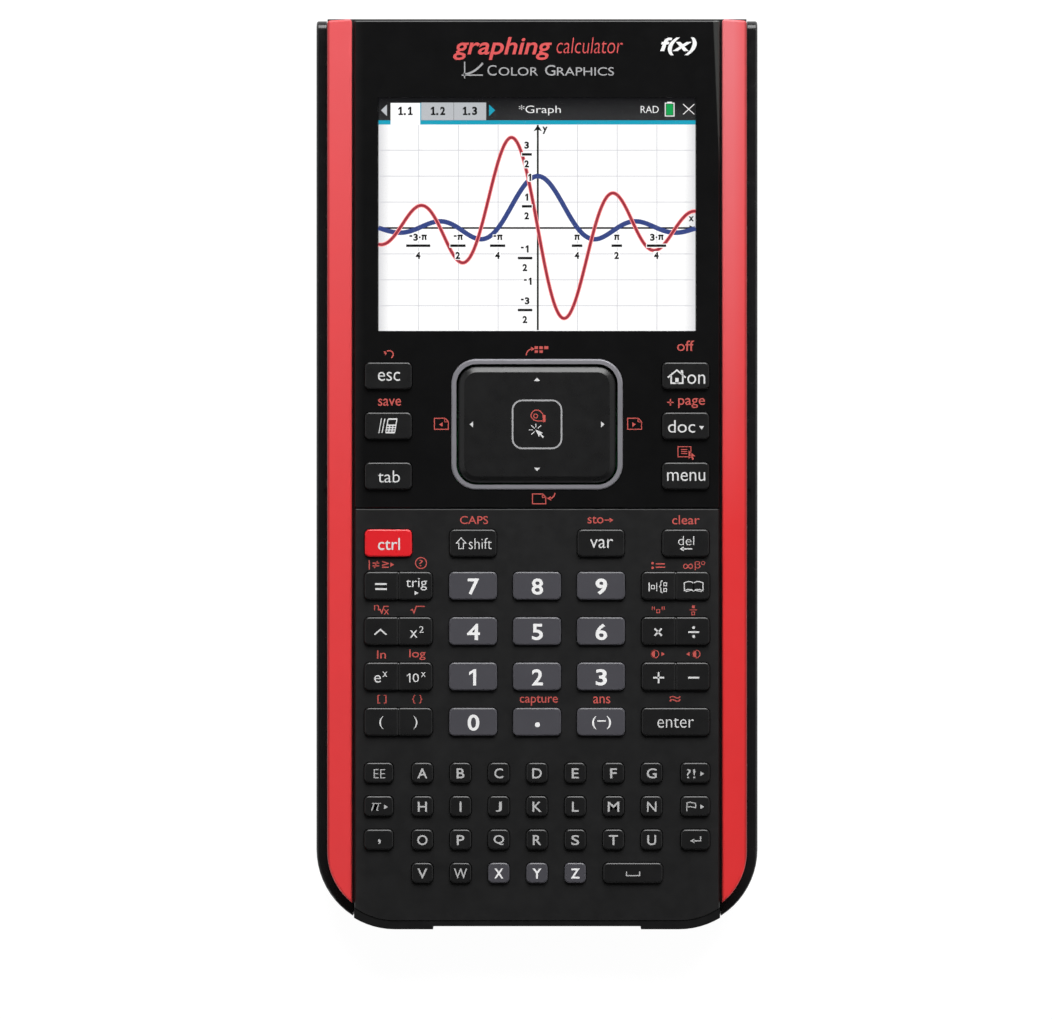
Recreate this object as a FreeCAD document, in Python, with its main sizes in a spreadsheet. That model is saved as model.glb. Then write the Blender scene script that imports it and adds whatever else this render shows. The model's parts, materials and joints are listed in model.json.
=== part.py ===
"""Graphing calculator on its slide case, as separate pieces in one parametric document.

The calculator lies on its back: +X to the right, +Y towards the display end, +Z out of the keys.
The origin is the middle of the whole object's footprint, at the level that it rests on.
All lengths are millimetres.
"""
import FreeCAD, Part
import os
import Sketcher

DIMENSIONS = {
    # overall outline, and the large round corners at the keypad end
    "overall_width": 92.3,
    "overall_length": 190.0,
    "corner_radius": 16.5,
    # slide case
    "case_floor": 1.6,
    "case_wall": 2.1,
    "case_rail_top": 13.0,
    "case_end_setback": 0.1,
    "case_edge": 2.4,
    "case_lip_edge": 0.5,
    "case_end_edge": 1.9,
    "ridge_reach": 1.0,
    "ridge_bottom": 7.6,
    "ridge_depth": 1.4,
    "detent_y": -3.5,
    "detent_reach": 0.6,
    "detent_size": 0.4,
    # levels of the calculator above the surface that it rests on
    "back_level": 2.1,
    "split_level": 9.6,
    "deck_bottom": 13.6,
    "deck_top": 15.0,
    "keypad_level": 16.4,
    "upper_level": 16.7,
    "rim_level": 16.2,
    "rail_level": 17.75,
    # gaps between pieces, and how far a cutting tool passes through
    "hair_gap": 0.02,
    "close_gap": 0.05,
    "seam": 0.1,
    "free_gap": 0.15,
    "fit_gap": 0.3,
    "overrun": 1.0,
    # calculator shells
    "shell_wall": 2.0,
    "back_thickness": 2.2,
    "back_edge": 3.0,
    "block_half_width": 38.2,
    "rim_width": 1.9,
    "end_recess_half_width": 21.7,
    "end_recess_depth": 0.65,
    "groove_depth": 1.0,
    "groove_bottom": 7.3,
    "groove_height": 2.0,
    # faceplates and side rails
    "plate_half_width": 38.1,
    "plate_split_y": -7.15,
    "plate_end_gap": 0.4,
    "plate_roll": 0.4,
    "plate_end_edge": 0.3,
    "rail_inner_x": 38.5,
    "rail_shoulder": 1.1,
    "rail_inner_edge": 0.5,
    "rail_end_edge": 0.4,
    # display
    "display_width": 66.4,
    "display_depth": 48.8,
    "display_y": 54.2,
    "window_thickness": 1.3,
    "module_width": 70.0,
    "module_depth": 53.0,
    "module_bottom": 12.6,
    "module_top": 14.8,
    "module_corner": 0.6,
    "frame_margin": 1.2,
    "frame_floor": 0.5,
    "frame_lip": 4.0,
    "frame_lip_corner": 2.0,
    # touchpad
    "pad_y": 10.35,
    "ring_width": 35.8,
    "ring_depth": 27.3,
    "ring_band": 1.06,
    "ring_corner": 5.3,
    "ring_level": 17.0,
    "ring_ledge": 0.8,
    "pad_gap": 0.45,
    "pad_level": 16.9,
    "pad_thickness": 1.3,
    "pad_edge": 0.6,
    "sensor_thickness": 0.4,
    "tilt_width": 12.0,
    "tilt_rib_radius": 0.5,
    "tilt_level": 13.9,
    "tilt_thickness": 0.8,
    "tilt_margin": 1.0,
    "support_top": 13.38,
    "support_thickness": 1.0,
    "support_stem_radius": 1.5,
    "support_stem_bottom": 11.55,
    # keys: sizes, corners and places
    "key_rise": 0.9,
    "key_corner": 1.0,
    "key_edge": 0.28,
    "key_clearance": 0.15,
    "flange_reach": 0.5,
    "flange_thickness": 0.7,
    "flange_gap": 0.1,
    "way_margin": 0.5,
    "rocker_drop": 0.5,
    "rocker_groove_width": 0.7,
    "rocker_groove_depth": 0.4,
    "side_width": 9.8,
    "side_depth": 5.6,
    "side_x": 31.0,
    "side_y": 20.46,
    "side_pitch": 10.43,
    "function_width": 9.8,
    "function_depth": 5.67,
    "function_y": -14.4,
    "digit_width": 10.0,
    "digit_depth": 5.8,
    "digit_pitch_x": 13.33,
    "digit_y": -23.3,
    "digit_pitch_y": 9.456,
    "pair_width": 14.2,
    "pair_x": 28.9,
    "letter_width": 4.44,
    "letter_depth": 4.2,
    "letter_pitch_x": 7.97,
    "letter_y": -62.3,
    "letter_pitch_y": 6.96,
    "wide_width": 6.05,
    "wide_x": 33.0,
    "space_width": 12.4,
    "space_x": 20.0,
    # rubber membrane and main board
    "membrane_bottom": 11.15,
    "membrane_thickness": 0.85,
    "membrane_corner": 2.0,
    "dome_radius": 1.6,
    "dome_rise": 0.9,
    "board_bottom": 9.9,
    "board_thickness": 1.2,
    "board_gap": 0.85,
    "chip_thickness": 1.5,
    # battery, its door and the fasteners
    "door_width": 50.0,
    "door_length": 66.0,
    "door_thickness": 1.4,
    "door_y": -34.0,
    "door_ledge": 2.5,
    "door_corner": 2.0,
    "battery_width": 42.0,
    "battery_length": 54.0,
    "battery_bottom": 4.4,
    "battery_thickness": 4.9,
    "battery_corner": 1.5,
    "door_screw_x": 15.0,
    "door_screw_inset": 3.0,
    "door_screw_radius": 0.9,
    "door_screw_head": 2.0,
    "door_screw_length": 3.3,
    "door_head_height": 0.7,
    "door_head_seat": 0.85,
    "screw_radius": 0.95,
    "screw_head_radius": 2.1,
    "screw_head_height": 1.0,
    "screw_length": 9.2,
    "column_radius": 3.1,
    "boss_radius": 2.9,
    "side_screw_x": 38.2,
    "upper_screw_y": 87.0,
    "middle_screw_y": -7.4,
    "lower_screw_x": 31.0,
    "lower_screw_y": -88.0,
    # feet, socket, contacts and reset button
    "foot_radius": 4.5,
    "foot_height": 0.9,
    "foot_bottom": 1.66,
    "foot_x": 32.0,
    "upper_foot_y": 80.0,
    "lower_foot_y": -76.0,
    "socket_width": 7.7,
    "socket_height": 3.9,
    "socket_length": 9.2,
    "socket_wall": 0.3,
    "socket_bottom": 5.5,
    "tongue_inset": 1.5,
    "tongue_root": 0.5,
    "tongue_thickness": 0.9,
    "contact_width": 1.6,
    "contact_pitch": 3.2,
    "contact_height": 2.2,
    "contact_bottom": 4.9,
    "contact_depth": 0.4,
    "reset_radius": 1.0,
    "reset_y": 20.0,
    "reset_x": 20.0,
    "reset_inset": 0.6,
    "reset_collar": 0.8,
}

CONTACT_COUNT = 8
CHIPS = [  # centre x and y, width and depth
    (-14, 52, 16, 16),
    (12, 52, 12, 10),
    (-14, 28, 8, 8),
    (8, 30, 10, 6),
    (28, 60, 6, 12),
]
CROSS_REACH = 0.6  # of a screw head's radius
CROSS_HALF_WIDTH = 0.14
CROSS_DEPTH = 0.5  # of the head's height
SAME_PLACE = 1e-4
USE_OFFSET = -1.0  # a pattern's gap with no spacing of its own
QUARTER_TURN = 1.5707963267948966

# Positions of equal keys: size, first column and row, columns, pitch, rows and pitch
GRIDS = {
    "side": (
        "side_width", "side_depth", "-Dims.side_x", "Dims.side_y", 2, "2 * Dims.side_x",
        3, "Dims.side_pitch"),
    "outer_function": (
        "function_width", "function_depth", "-Dims.side_x", "Dims.function_y", 2, "2 * Dims.side_x", 1, "0"),
    "inner_function": (
        "function_width", "function_depth", "-Dims.digit_pitch_x", "Dims.function_y",
        2, "2 * Dims.digit_pitch_x", 1, "0"),
    "digit": (
        "digit_width", "digit_depth", "-Dims.digit_pitch_x", "Dims.digit_y", 3, "Dims.digit_pitch_x",
        4, "Dims.digit_pitch_y"),
    "pair": (
        "pair_width", "digit_depth", "-Dims.pair_x", "Dims.digit_y", 2, "2 * Dims.pair_x",
        4, "Dims.digit_pitch_y"),
    "letter": (
        "letter_width", "letter_depth", "-3 * Dims.letter_pitch_x", "Dims.letter_y", 7, "Dims.letter_pitch_x",
        3, "Dims.letter_pitch_y"),
    "last_letter": (
        "letter_width", "letter_depth", "-3 * Dims.letter_pitch_x", "Dims.letter_y - 3 * Dims.letter_pitch_y",
        5, "Dims.letter_pitch_x", 1, "0"),
    "wide": (
        "wide_width", "letter_depth", "-Dims.wide_x", "Dims.letter_y", 2, "2 * Dims.wide_x",
        3, "Dims.letter_pitch_y"),
    "space": (
        "space_width", "letter_depth", "Dims.space_x", "Dims.letter_y - 3 * Dims.letter_pitch_y",
        1, "0", 1, "0"),
}

# Each key node and where its caps stand: grid, column, row
SLIDING_KEYS = {
    "key_esc": [("side", 0, 0)],
    "key_scratchpad": [("side", 0, 1)],
    "key_tab": [("side", 0, 2)],
    "key_home_on": [("side", 1, 0)],
    "key_doc": [("side", 1, 1)],
    "key_menu": [("side", 1, 2)],
    "key_ctrl": [("outer_function", 0, 0)],
    "key_del": [("outer_function", 1, 0)],
    "key_shift": [("inner_function", 0, 0)],
    "key_var": [("inner_function", 1, 0)],
    "key_digit_7": [("digit", 0, 0)],
    "key_digit_8": [("digit", 1, 0)],
    "key_digit_9": [("digit", 2, 0)],
    "key_digit_4": [("digit", 0, 1)],
    "key_digit_5": [("digit", 1, 1)],
    "key_digit_6": [("digit", 2, 1)],
    "key_digit_1": [("digit", 0, 2)],
    "key_digit_2": [("digit", 1, 2)],
    "key_digit_3": [("digit", 2, 2)],
    "key_digit_0": [("digit", 0, 3)],
    "key_decimal_point": [("digit", 1, 3)],
    "key_negate": [("digit", 2, 3)],
    "key_enter": [("pair", 1, 3)],
    "keys_letter_row_1": [("wide", 0, 0)] + [("letter", column, 0) for column in range(7)] + [("wide", 1, 0)],
    "keys_letter_row_2": [("wide", 0, 1)] + [("letter", column, 1) for column in range(7)] + [("wide", 1, 1)],
    "keys_letter_row_3": [("wide", 0, 2)] + [("letter", column, 2) for column in range(7)] + [("wide", 1, 2)],
    "keys_letter_row_4": [("last_letter", column, 0) for column in range(5)] + [("space", 0, 0)],
}
ROCKER_KEYS = {
    "key_equals_trig": ("pair", 0, 0),
    "key_power_square": ("pair", 0, 1),
    "key_exponentials": ("pair", 0, 2),
    "key_brackets": ("pair", 0, 3),
    "key_template_catalog": ("pair", 1, 0),
    "key_multiply_divide": ("pair", 1, 1),
    "key_add_subtract": ("pair", 1, 2),
}

doc = FreeCAD.newDocument("graphing_calculator")
sheet = doc.addObject("Spreadsheet::Sheet", "Dims")
for line, (alias, length) in enumerate(DIMENSIONS.items(), start=1):
    sheet.set(f"A{line}", alias)
    sheet.set(f"B{line}", str(length))
    sheet.setAlias(f"B{line}", alias)
doc.recompute()

nodes = []


def number(expression):
    """The value of an expression in the sheet's cells."""
    return float(sheet.evalExpression(str(expression)))


def bind(thing, **sizes):
    """Bind properties to expressions; two underscores in a name stand for a point."""
    for name, expression in sizes.items():
        thing.setExpression(name.replace("__", "."), str(expression))


def node(thing, label):
    """Register a finished piece under the name that its file gets."""
    thing.Label = label
    nodes.append(thing)
    return thing


# --- PartDesign helpers -----------------------------------------------------------------------

def new_body(name):
    body = doc.addObject("PartDesign::Body", name)
    body.Label = name
    return body


def flat_sketch(body, name, level, x="0", y="0"):
    """A sketch parallel to the body's XY plane, its origin moved to x, y and level."""
    sketch = body.newObject("Sketcher::SketchObject", name)
    base_plane = next(plane for plane in body.Origin.OriginFeatures if plane.Role == "XY_Plane")
    sketch.AttachmentSupport = [(base_plane, "")]
    sketch.MapMode = "FlatFace"
    bind(sketch, AttachmentOffset__Base__x=x, AttachmentOffset__Base__y=y, AttachmentOffset__Base__z=level)
    return sketch


def dimension(sketch, name, constraint, expression):
    index = sketch.addConstraint(constraint)
    sketch.renameConstraint(index, name)
    sketch.setExpression(f"Constraints.{name}", str(expression))


def rectangle(sketch, width, depth, corner=None):
    """Draw a rectangle centred on the sketch's origin, with round corners if `corner` is given."""
    across, up = number(width) / 2, number(depth) / 2
    radius = number(corner) if corner else 0
    ends = [
        ((radius - across, -up), (across - radius, -up)),
        ((across, radius - up), (across, up - radius)),
        ((across - radius, up), (radius - across, up)),
        ((-across, up - radius), (-across, radius - up)),
    ]
    for start, end in ends:
        sketch.addGeometry(Part.LineSegment(FreeCAD.Vector(*start, 0), FreeCAD.Vector(*end, 0)), False)
    rules = [Sketcher.Constraint("Horizontal", 0), Sketcher.Constraint("Horizontal", 2)]
    rules += [Sketcher.Constraint("Vertical", 1), Sketcher.Constraint("Vertical", 3)]
    if corner:
        for turn, (side, rise) in enumerate([(1, -1), (1, 1), (-1, 1), (-1, -1)]):
            centre = FreeCAD.Vector(side * (across - radius), rise * (up - radius), 0)
            whole = Part.Circle(centre, FreeCAD.Vector(0, 0, 1), radius)
            arc = Part.ArcOfCircle(whole, (turn - 1) * QUARTER_TURN, turn * QUARTER_TURN)
            sketch.addGeometry(arc, False)
            rules.append(Sketcher.Constraint("Tangent", turn, 2, 4 + turn, 1))
            rules.append(Sketcher.Constraint("Tangent", 4 + turn, 2, (turn + 1) % 4, 1))
        rules += [Sketcher.Constraint("Equal", 4, other) for other in (5, 6, 7)]
        rules.append(Sketcher.Constraint("Symmetric", 7, 3, 5, 3, -1, 1))
    else:
        rules += [Sketcher.Constraint("Coincident", side, 2, (side + 1) % 4, 1) for side in range(4)]
        rules.append(Sketcher.Constraint("Symmetric", 0, 1, 2, 1, -1, 1))
    sketch.addConstraint(rules)
    dimension(sketch, "width", Sketcher.Constraint("DistanceX", 3, 1, 1, 1, 2 * across), width)
    dimension(sketch, "depth", Sketcher.Constraint("DistanceY", 0, 1, 2, 1, 2 * up), depth)
    if corner:
        dimension(sketch, "corner", Sketcher.Constraint("Radius", 4, radius), corner)


def circle(sketch, radius):
    """Draw a circle on the sketch's origin."""
    size = number(radius)
    sketch.addGeometry(Part.Circle(FreeCAD.Vector(0, 0, 0), FreeCAD.Vector(0, 0, 1), size), False)
    sketch.addConstraint(Sketcher.Constraint("Coincident", 0, 3, -1, 1))
    dimension(sketch, "radius", Sketcher.Constraint("Radius", 0, size), radius)


def pad(body, sketch, height):
    """Grow the sketch upwards by `height`."""
    feature = body.newObject("PartDesign::Pad", f"{sketch.Name}_pad")
    feature.Profile = sketch
    bind(feature, Length=height)
    return feature


def pocket(body, sketch, depth):
    """Cut the sketch downwards by `depth`."""
    feature = body.newObject("PartDesign::Pocket", f"{sketch.Name}_pocket")
    feature.Profile = sketch
    bind(feature, Length=depth)
    return feature


def repeat(body, feature, sketch, columns, pitch_x, rows, pitch_y):
    """Repeat a feature along its sketch's axes, to the right and upwards."""
    pattern = body.newObject("PartDesign::LinearPattern", f"{sketch.Name}_pattern")
    pattern.Originals = [feature]
    pattern.Direction = (sketch, ["H_Axis"])
    pattern.Direction2 = (sketch, ["V_Axis"])
    pattern.Mode = "Spacing"
    pattern.Mode2 = "Spacing"
    pattern.Occurrences = columns
    pattern.Occurrences2 = rows
    pattern.Spacings2 = [USE_OFFSET] * (rows - 1)
    bind(pattern, Offset=pitch_x, Offset2=pitch_y)
    body.Tip = pattern
    return pattern


def round_edges(body, feature, radius, chosen):
    """Fillet the edges of `feature` whose middle point passes the test `chosen`."""
    doc.recompute()
    names = []
    for index, edge in enumerate(feature.Shape.Edges, start=1):
        middle = edge.valueAt((edge.FirstParameter + edge.LastParameter) / 2)
        if chosen(middle):
            names.append(f"Edge{index}")
    fillet = body.newObject("PartDesign::Fillet", f"{feature.Name}_fillet")
    fillet.Base = (feature, names)
    bind(fillet, Radius=radius)
    return fillet


def level_is(height):
    """A test for points at one height."""
    return lambda point: abs(point.z - height) < SAME_PLACE


def rounded_slab(name, level, height, width, depth, corner, x="0", y="0"):
    """A body of one pad with round upright corners."""
    body = new_body(name)
    sketch = flat_sketch(body, f"{name}_sketch", level, x, y)
    rectangle(sketch, width, depth, corner)
    pad(body, sketch, height)
    return body


def envelope(name, half_width, bottom_y, top_y, radius, level, height, back_edge=None):
    """A slab as wide as the object, square at the display end and round at the keypad end."""
    body = new_body(name)
    sketch = flat_sketch(body, f"{name}_sketch", level, "0", f"(({bottom_y}) + ({top_y})) / 2")
    rectangle(sketch, f"2 * ({half_width})", f"({top_y}) - ({bottom_y})")
    slab = pad(body, sketch, height)
    middle = number(f"(({bottom_y}) + ({top_y})) / 2")
    half_height = number(f"({level}) + ({height}) / 2")
    slab = round_edges(
        body, slab, radius, lambda point: point.y < middle and abs(point.z - half_height) < SAME_PLACE)
    if back_edge:
        round_edges(body, slab, back_edge, level_is(number(level)))
    return body


# --- Part helpers -----------------------------------------------------------------------------

def box(name, x_range, y_range, z_range):
    """A block from the low to the high value along each axis."""
    block = doc.addObject("Part::Box", name)
    low_x, high_x = x_range
    low_y, high_y = y_range
    low_z, high_z = z_range
    bind(block, Placement__Base__x=low_x, Placement__Base__y=low_y, Placement__Base__z=low_z)
    bind(block, Length=f"({high_x}) - ({low_x})")
    bind(block, Width=f"({high_y}) - ({low_y})")
    bind(block, Height=f"({high_z}) - ({low_z})")
    return block


def cylinder(name, x, y, level, radius, height):
    rod = doc.addObject("Part::Cylinder", name)
    bind(rod, Placement__Base__x=x, Placement__Base__y=y, Placement__Base__z=level)
    bind(rod, Radius=radius, Height=height)
    return rod


def fuse(name, pieces):
    union = doc.addObject("Part::MultiFuse", name)
    union.Shapes = pieces
    return union


def cut(name, base, tools):
    """`base` less every tool, one after another."""
    result = base
    for index, tool in enumerate(tools):
        step = doc.addObject("Part::Cut", f"{name}_{index}")
        step.Base = result
        step.Tool = tool
        result = step
    return result


def common(name, base, tool):
    overlap = doc.addObject("Part::Common", name)
    overlap.Base = base
    overlap.Tool = tool
    return overlap


def group(name, pieces):
    compound = doc.addObject("Part::Compound", name)
    compound.Links = pieces
    return compound


# --- Keys -------------------------------------------------------------------------------------

def key_place(grid, column, row):
    """Expressions for the centre of one key of a grid."""
    width, depth, first_x, first_y, columns, pitch_x, rows, pitch_y = GRIDS[grid]
    return f"{first_x} + {column} * {pitch_x}", f"{first_y} - {row} * {pitch_y}"


def plate_level(grid):
    """The face that a grid's keys stand out of."""
    return "Dims.upper_level" if grid == "side" else "Dims.keypad_level"


def key_cap(name, grid, column, row, flange_drop="0"):
    """A cap with a flange below the faceplate that keeps it from falling out."""
    width, depth = (f"Dims.{size}" for size in GRIDS[grid][:2])
    x, y = key_place(grid, column, row)
    body = new_body(name)
    flange_top = f"Dims.deck_top - Dims.flange_gap - ({flange_drop})"
    flange = flat_sketch(body, f"{name}_flange", f"{flange_top} - Dims.flange_thickness", x, y)
    rectangle(
        flange, f"{width} + 2 * Dims.flange_reach", f"{depth} + 2 * Dims.flange_reach", "Dims.key_corner")
    pad(body, flange, "Dims.flange_thickness")
    top = f"{plate_level(grid)} + Dims.key_rise"
    cap = flat_sketch(body, f"{name}_cap", flange_top, x, y)
    rectangle(cap, width, depth, "Dims.key_corner")
    crown = pad(body, cap, f"{top} - ({flange_top})")
    round_edges(body, crown, "Dims.key_edge", level_is(number(top)))
    return body


def sliding_key(name, places):
    """One cap, or a row of caps that share a node."""
    if len(places) == 1:
        return node(key_cap(name, *places[0]), name)
    caps = [key_cap(f"{name}_cap_{index}", *place) for index, place in enumerate(places, start=1)]
    return node(group(f"{name}_group", caps), name)


def rocker_key(name, place):
    """A wide cap that tips to either side, with a groove across its middle."""
    body = key_cap(name, *place, flange_drop="Dims.rocker_drop")
    x, y = key_place(*place)
    groove = flat_sketch(body, f"{name}_groove", f"{plate_level(place[0])} + Dims.key_rise", x, y)
    rectangle(groove, "Dims.rocker_groove_width", "Dims.digit_depth + Dims.overrun")
    pocket(body, groove, "Dims.rocker_groove_depth")
    return node(body, name)


def grid_sketch(body, name, grid, level):
    """A sketch whose origin is the lowest key on a grid's left side, ready for `repeat`."""
    width, depth, first_x, first_y, columns, pitch_x, rows, pitch_y = GRIDS[grid]
    sketch = flat_sketch(body, name, level, first_x, f"{first_y} - {rows - 1} * {pitch_y}")
    return sketch, (columns, pitch_x, rows, pitch_y)


for key_name, key_places in SLIDING_KEYS.items():
    sliding_key(key_name, key_places)
for key_name, key_position in ROCKER_KEYS.items():
    rocker_key(key_name, key_position)

# --- Outlines shared by the shells ------------------------------------------------------------

HALF_WIDTH = "Dims.overall_width / 2"
HALF_LENGTH = "Dims.overall_length / 2"
CORNER_Y = "(Dims.corner_radius - Dims.overall_length / 2)"
SHELL_INSET = "(Dims.case_wall + Dims.fit_gap)"
SHELL_HALF_WIDTH = f"({HALF_WIDTH} - {SHELL_INSET})"


def shared_corner(name, inset, top_y, level, height, back_edge=None):
    """An envelope concentric with the object's outer corners, `inset` inside its outline."""
    return envelope(
        name, f"{HALF_WIDTH} - ({inset})", f"({inset}) - {HALF_LENGTH}", top_y,
        f"Dims.corner_radius - ({inset})", level, height, back_edge)


def shell_blank(name, level, height, block_height, back_edge=None):
    """The calculator's outline: narrower than the case, with a block at the keypad end that is not."""
    main = shared_corner(f"{name}_main", SHELL_INSET, HALF_LENGTH, level, height, back_edge)
    end = shared_corner(f"{name}_end", "0", HALF_LENGTH, level, block_height, back_edge)
    reach = box(
        f"{name}_reach", ("-Dims.block_half_width", "Dims.block_half_width"),
        (f"-{HALF_LENGTH} - Dims.overrun", CORNER_Y),
        (f"({level}) - Dims.overrun", f"({level}) + ({block_height}) + Dims.overrun"))
    return fuse(f"{name}_blank", [main, common(f"{name}_block", end, reach)])


def end_recess(name):
    """The shallow recess in the keypad end."""
    return box(
        name, ("-Dims.end_recess_half_width", "Dims.end_recess_half_width"),
        (f"-{HALF_LENGTH} - Dims.overrun", f"Dims.end_recess_depth - {HALF_LENGTH}"),
        ("0", "Dims.rail_level + Dims.overrun"))


SCREW_PLACES = [
    (f"{side} * Dims.{x}", f"Dims.{y}")
    for side in (-1, 1)
    for x, y in (
        ("side_screw_x", "upper_screw_y"), ("side_screw_x", "middle_screw_y"),
        ("lower_screw_x", "lower_screw_y"))
]
FOOT_PLACES = [
    (f"{side} * Dims.foot_x", f"Dims.{y}") for side in (-1, 1) for y in ("upper_foot_y", "lower_foot_y")]


def rods_at(name, places, level, radius, height):
    """One cylinder at each place."""
    return [
        cylinder(f"{name}_{index}", x, y, level, radius, height)
        for index, (x, y) in enumerate(places, start=1)]


# --- Slide case -------------------------------------------------------------------------------

def make_slide_case():
    """A tray under the calculator, whose side rails run in the calculator's grooves."""
    outside = shared_corner(
        "case_outside", "0", f"{HALF_LENGTH} - Dims.case_end_setback", "0", "Dims.case_rail_top",
        "Dims.case_edge")
    outside_top = number("Dims.case_rail_top")
    end_y = number(f"{HALF_LENGTH} - Dims.case_end_setback")
    slope = round_edges(
        outside, outside.Tip, "Dims.case_end_edge",
        lambda point: abs(point.z - outside_top) < SAME_PLACE and abs(point.y - end_y) < SAME_PLACE)
    round_edges(outside, slope, "Dims.case_lip_edge", level_is(outside_top))
    inside = shared_corner(
        "case_inside", "Dims.case_wall", f"{HALF_LENGTH} + Dims.overrun", "Dims.case_floor",
        "Dims.case_rail_top")
    end_gap = box(
        "case_end_gap", ("-Dims.block_half_width - Dims.fit_gap", "Dims.block_half_width + Dims.fit_gap"),
        (f"-{HALF_LENGTH} - Dims.overrun", CORNER_Y),
        ("Dims.case_floor", "Dims.case_rail_top + Dims.overrun"))
    tray = cut("case_tray", outside, [inside, end_gap])
    ridges = []
    for side, name in ((-1, "left"), (1, "right")):
        wall = f"{side} * ({HALF_WIDTH} - Dims.case_wall / 2)"
        tip = f"{side} * ({HALF_WIDTH} - Dims.case_wall - Dims.ridge_reach)"
        low, high = (wall, tip) if side < 0 else (tip, wall)
        ridges.append(box(
            f"case_ridge_{name}", (low, high), (CORNER_Y, f"{HALF_LENGTH} - 4 * Dims.ridge_reach"),
            ("Dims.ridge_bottom", "Dims.ridge_bottom + Dims.ridge_depth")))
    rails = fuse("case_rails", [tray] + ridges)
    detents = [
        box(
            f"case_detent_{name}", (f"{centre} - Dims.detent_reach", f"{centre} + Dims.detent_reach"),
            ("Dims.detent_y - Dims.detent_size", "Dims.detent_y + Dims.detent_size"),
            ("Dims.case_rail_top - Dims.detent_size", "Dims.case_rail_top + Dims.overrun"))
        for name, centre in (
            ("left", f"Dims.case_wall - {HALF_WIDTH}"), ("right", f"{HALF_WIDTH} - Dims.case_wall"))]
    node(cut("case", rails, detents), "slide_case")


# --- Calculator shells ------------------------------------------------------------------------

def make_rear_cover():
    height = "Dims.split_level - Dims.back_level"
    floor_top = "Dims.back_level + Dims.back_thickness"
    blank = shell_blank("rear", "Dims.back_level", height, height, "Dims.back_edge")
    cavity = shared_corner(
        "rear_cavity", f"{SHELL_INSET} + Dims.shell_wall", f"{HALF_LENGTH} - Dims.shell_wall", floor_top,
        "Dims.split_level")
    shell = cut("rear_shell", blank, [cavity])
    columns = rods_at(
        "rear_column", SCREW_PLACES, floor_top, "Dims.column_radius",
        f"Dims.split_level - ({floor_top}) - Dims.seam")
    hollow = fuse("rear_hollow", [shell] + columns)
    grooves = [
        box(
            f"rear_groove_{name}", ends, (f"-{HALF_LENGTH}", f"{HALF_LENGTH} + Dims.overrun"),
            ("Dims.groove_bottom", "Dims.groove_bottom + Dims.groove_height"))
        for name, ends in (
            ("left", (f"-{HALF_WIDTH}", f"Dims.groove_depth - {SHELL_HALF_WIDTH}")),
            ("right", (f"{SHELL_HALF_WIDTH} - Dims.groove_depth", HALF_WIDTH)))]
    door_seat = rounded_slab(
        "rear_door_seat", "Dims.back_level - Dims.overrun",
        "Dims.overrun + Dims.door_thickness + Dims.close_gap", "Dims.door_width + 2 * Dims.seam",
        "Dims.door_length + 2 * Dims.seam", "Dims.door_corner + Dims.seam", "0", "Dims.door_y")
    door_way = rounded_slab(
        "rear_door_way", "Dims.back_level", "2 * Dims.back_thickness",
        "Dims.door_width - 2 * Dims.door_ledge", "Dims.door_length - 4 * Dims.door_ledge", "Dims.door_corner",
        "0", "Dims.door_y")
    screw_ways = rods_at(
        "rear_screw_way", SCREW_PLACES, "0", "Dims.screw_radius + Dims.fit_gap",
        "Dims.split_level + Dims.overrun")
    screw_heads = rods_at(
        "rear_screw_seat", SCREW_PLACES, "0", "Dims.screw_head_radius + Dims.fit_gap",
        "Dims.back_level + Dims.screw_head_height + Dims.fit_gap")
    door_screw_holes = rods_at(
        "rear_door_screw_hole", door_screw_places(), "Dims.back_level",
        "Dims.door_screw_radius + Dims.close_gap", "2 * Dims.back_thickness")
    foot_seats = rods_at(
        "rear_foot_seat", FOOT_PLACES, "0", "Dims.foot_radius + Dims.seam",
        "Dims.foot_bottom + Dims.foot_height + Dims.hair_gap")
    socket_way = box(
        "rear_socket_way",
        ("-Dims.socket_width / 2 - Dims.free_gap", "Dims.socket_width / 2 + Dims.free_gap"),
        (f"{HALF_LENGTH} - 2 * Dims.shell_wall", f"{HALF_LENGTH} + Dims.overrun"),
        ("Dims.socket_bottom - Dims.free_gap", "Dims.split_level + Dims.overrun"))
    contact_seat = box(
        "rear_contact_seat",
        (f"-{CONTACT_COUNT} * Dims.contact_pitch / 2", f"{CONTACT_COUNT} * Dims.contact_pitch / 2"),
        (f"-{HALF_LENGTH}", f"Dims.end_recess_depth + Dims.contact_depth + Dims.seam - {HALF_LENGTH}"),
        ("Dims.contact_bottom - Dims.contact_depth",
         "Dims.contact_bottom + Dims.contact_height + Dims.contact_depth"))
    reset_way = cylinder(
        "rear_reset_way", "Dims.reset_x", "Dims.reset_y", "0", "Dims.reset_radius + 2 * Dims.seam",
        "2 * Dims.split_level")
    tools = grooves + [door_seat, door_way] + screw_ways + screw_heads + door_screw_holes + foot_seats
    tools += [socket_way, contact_seat, reset_way, end_recess("rear_end_recess")]
    node(cut("rear", hollow, tools), "rear_cover")


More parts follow.
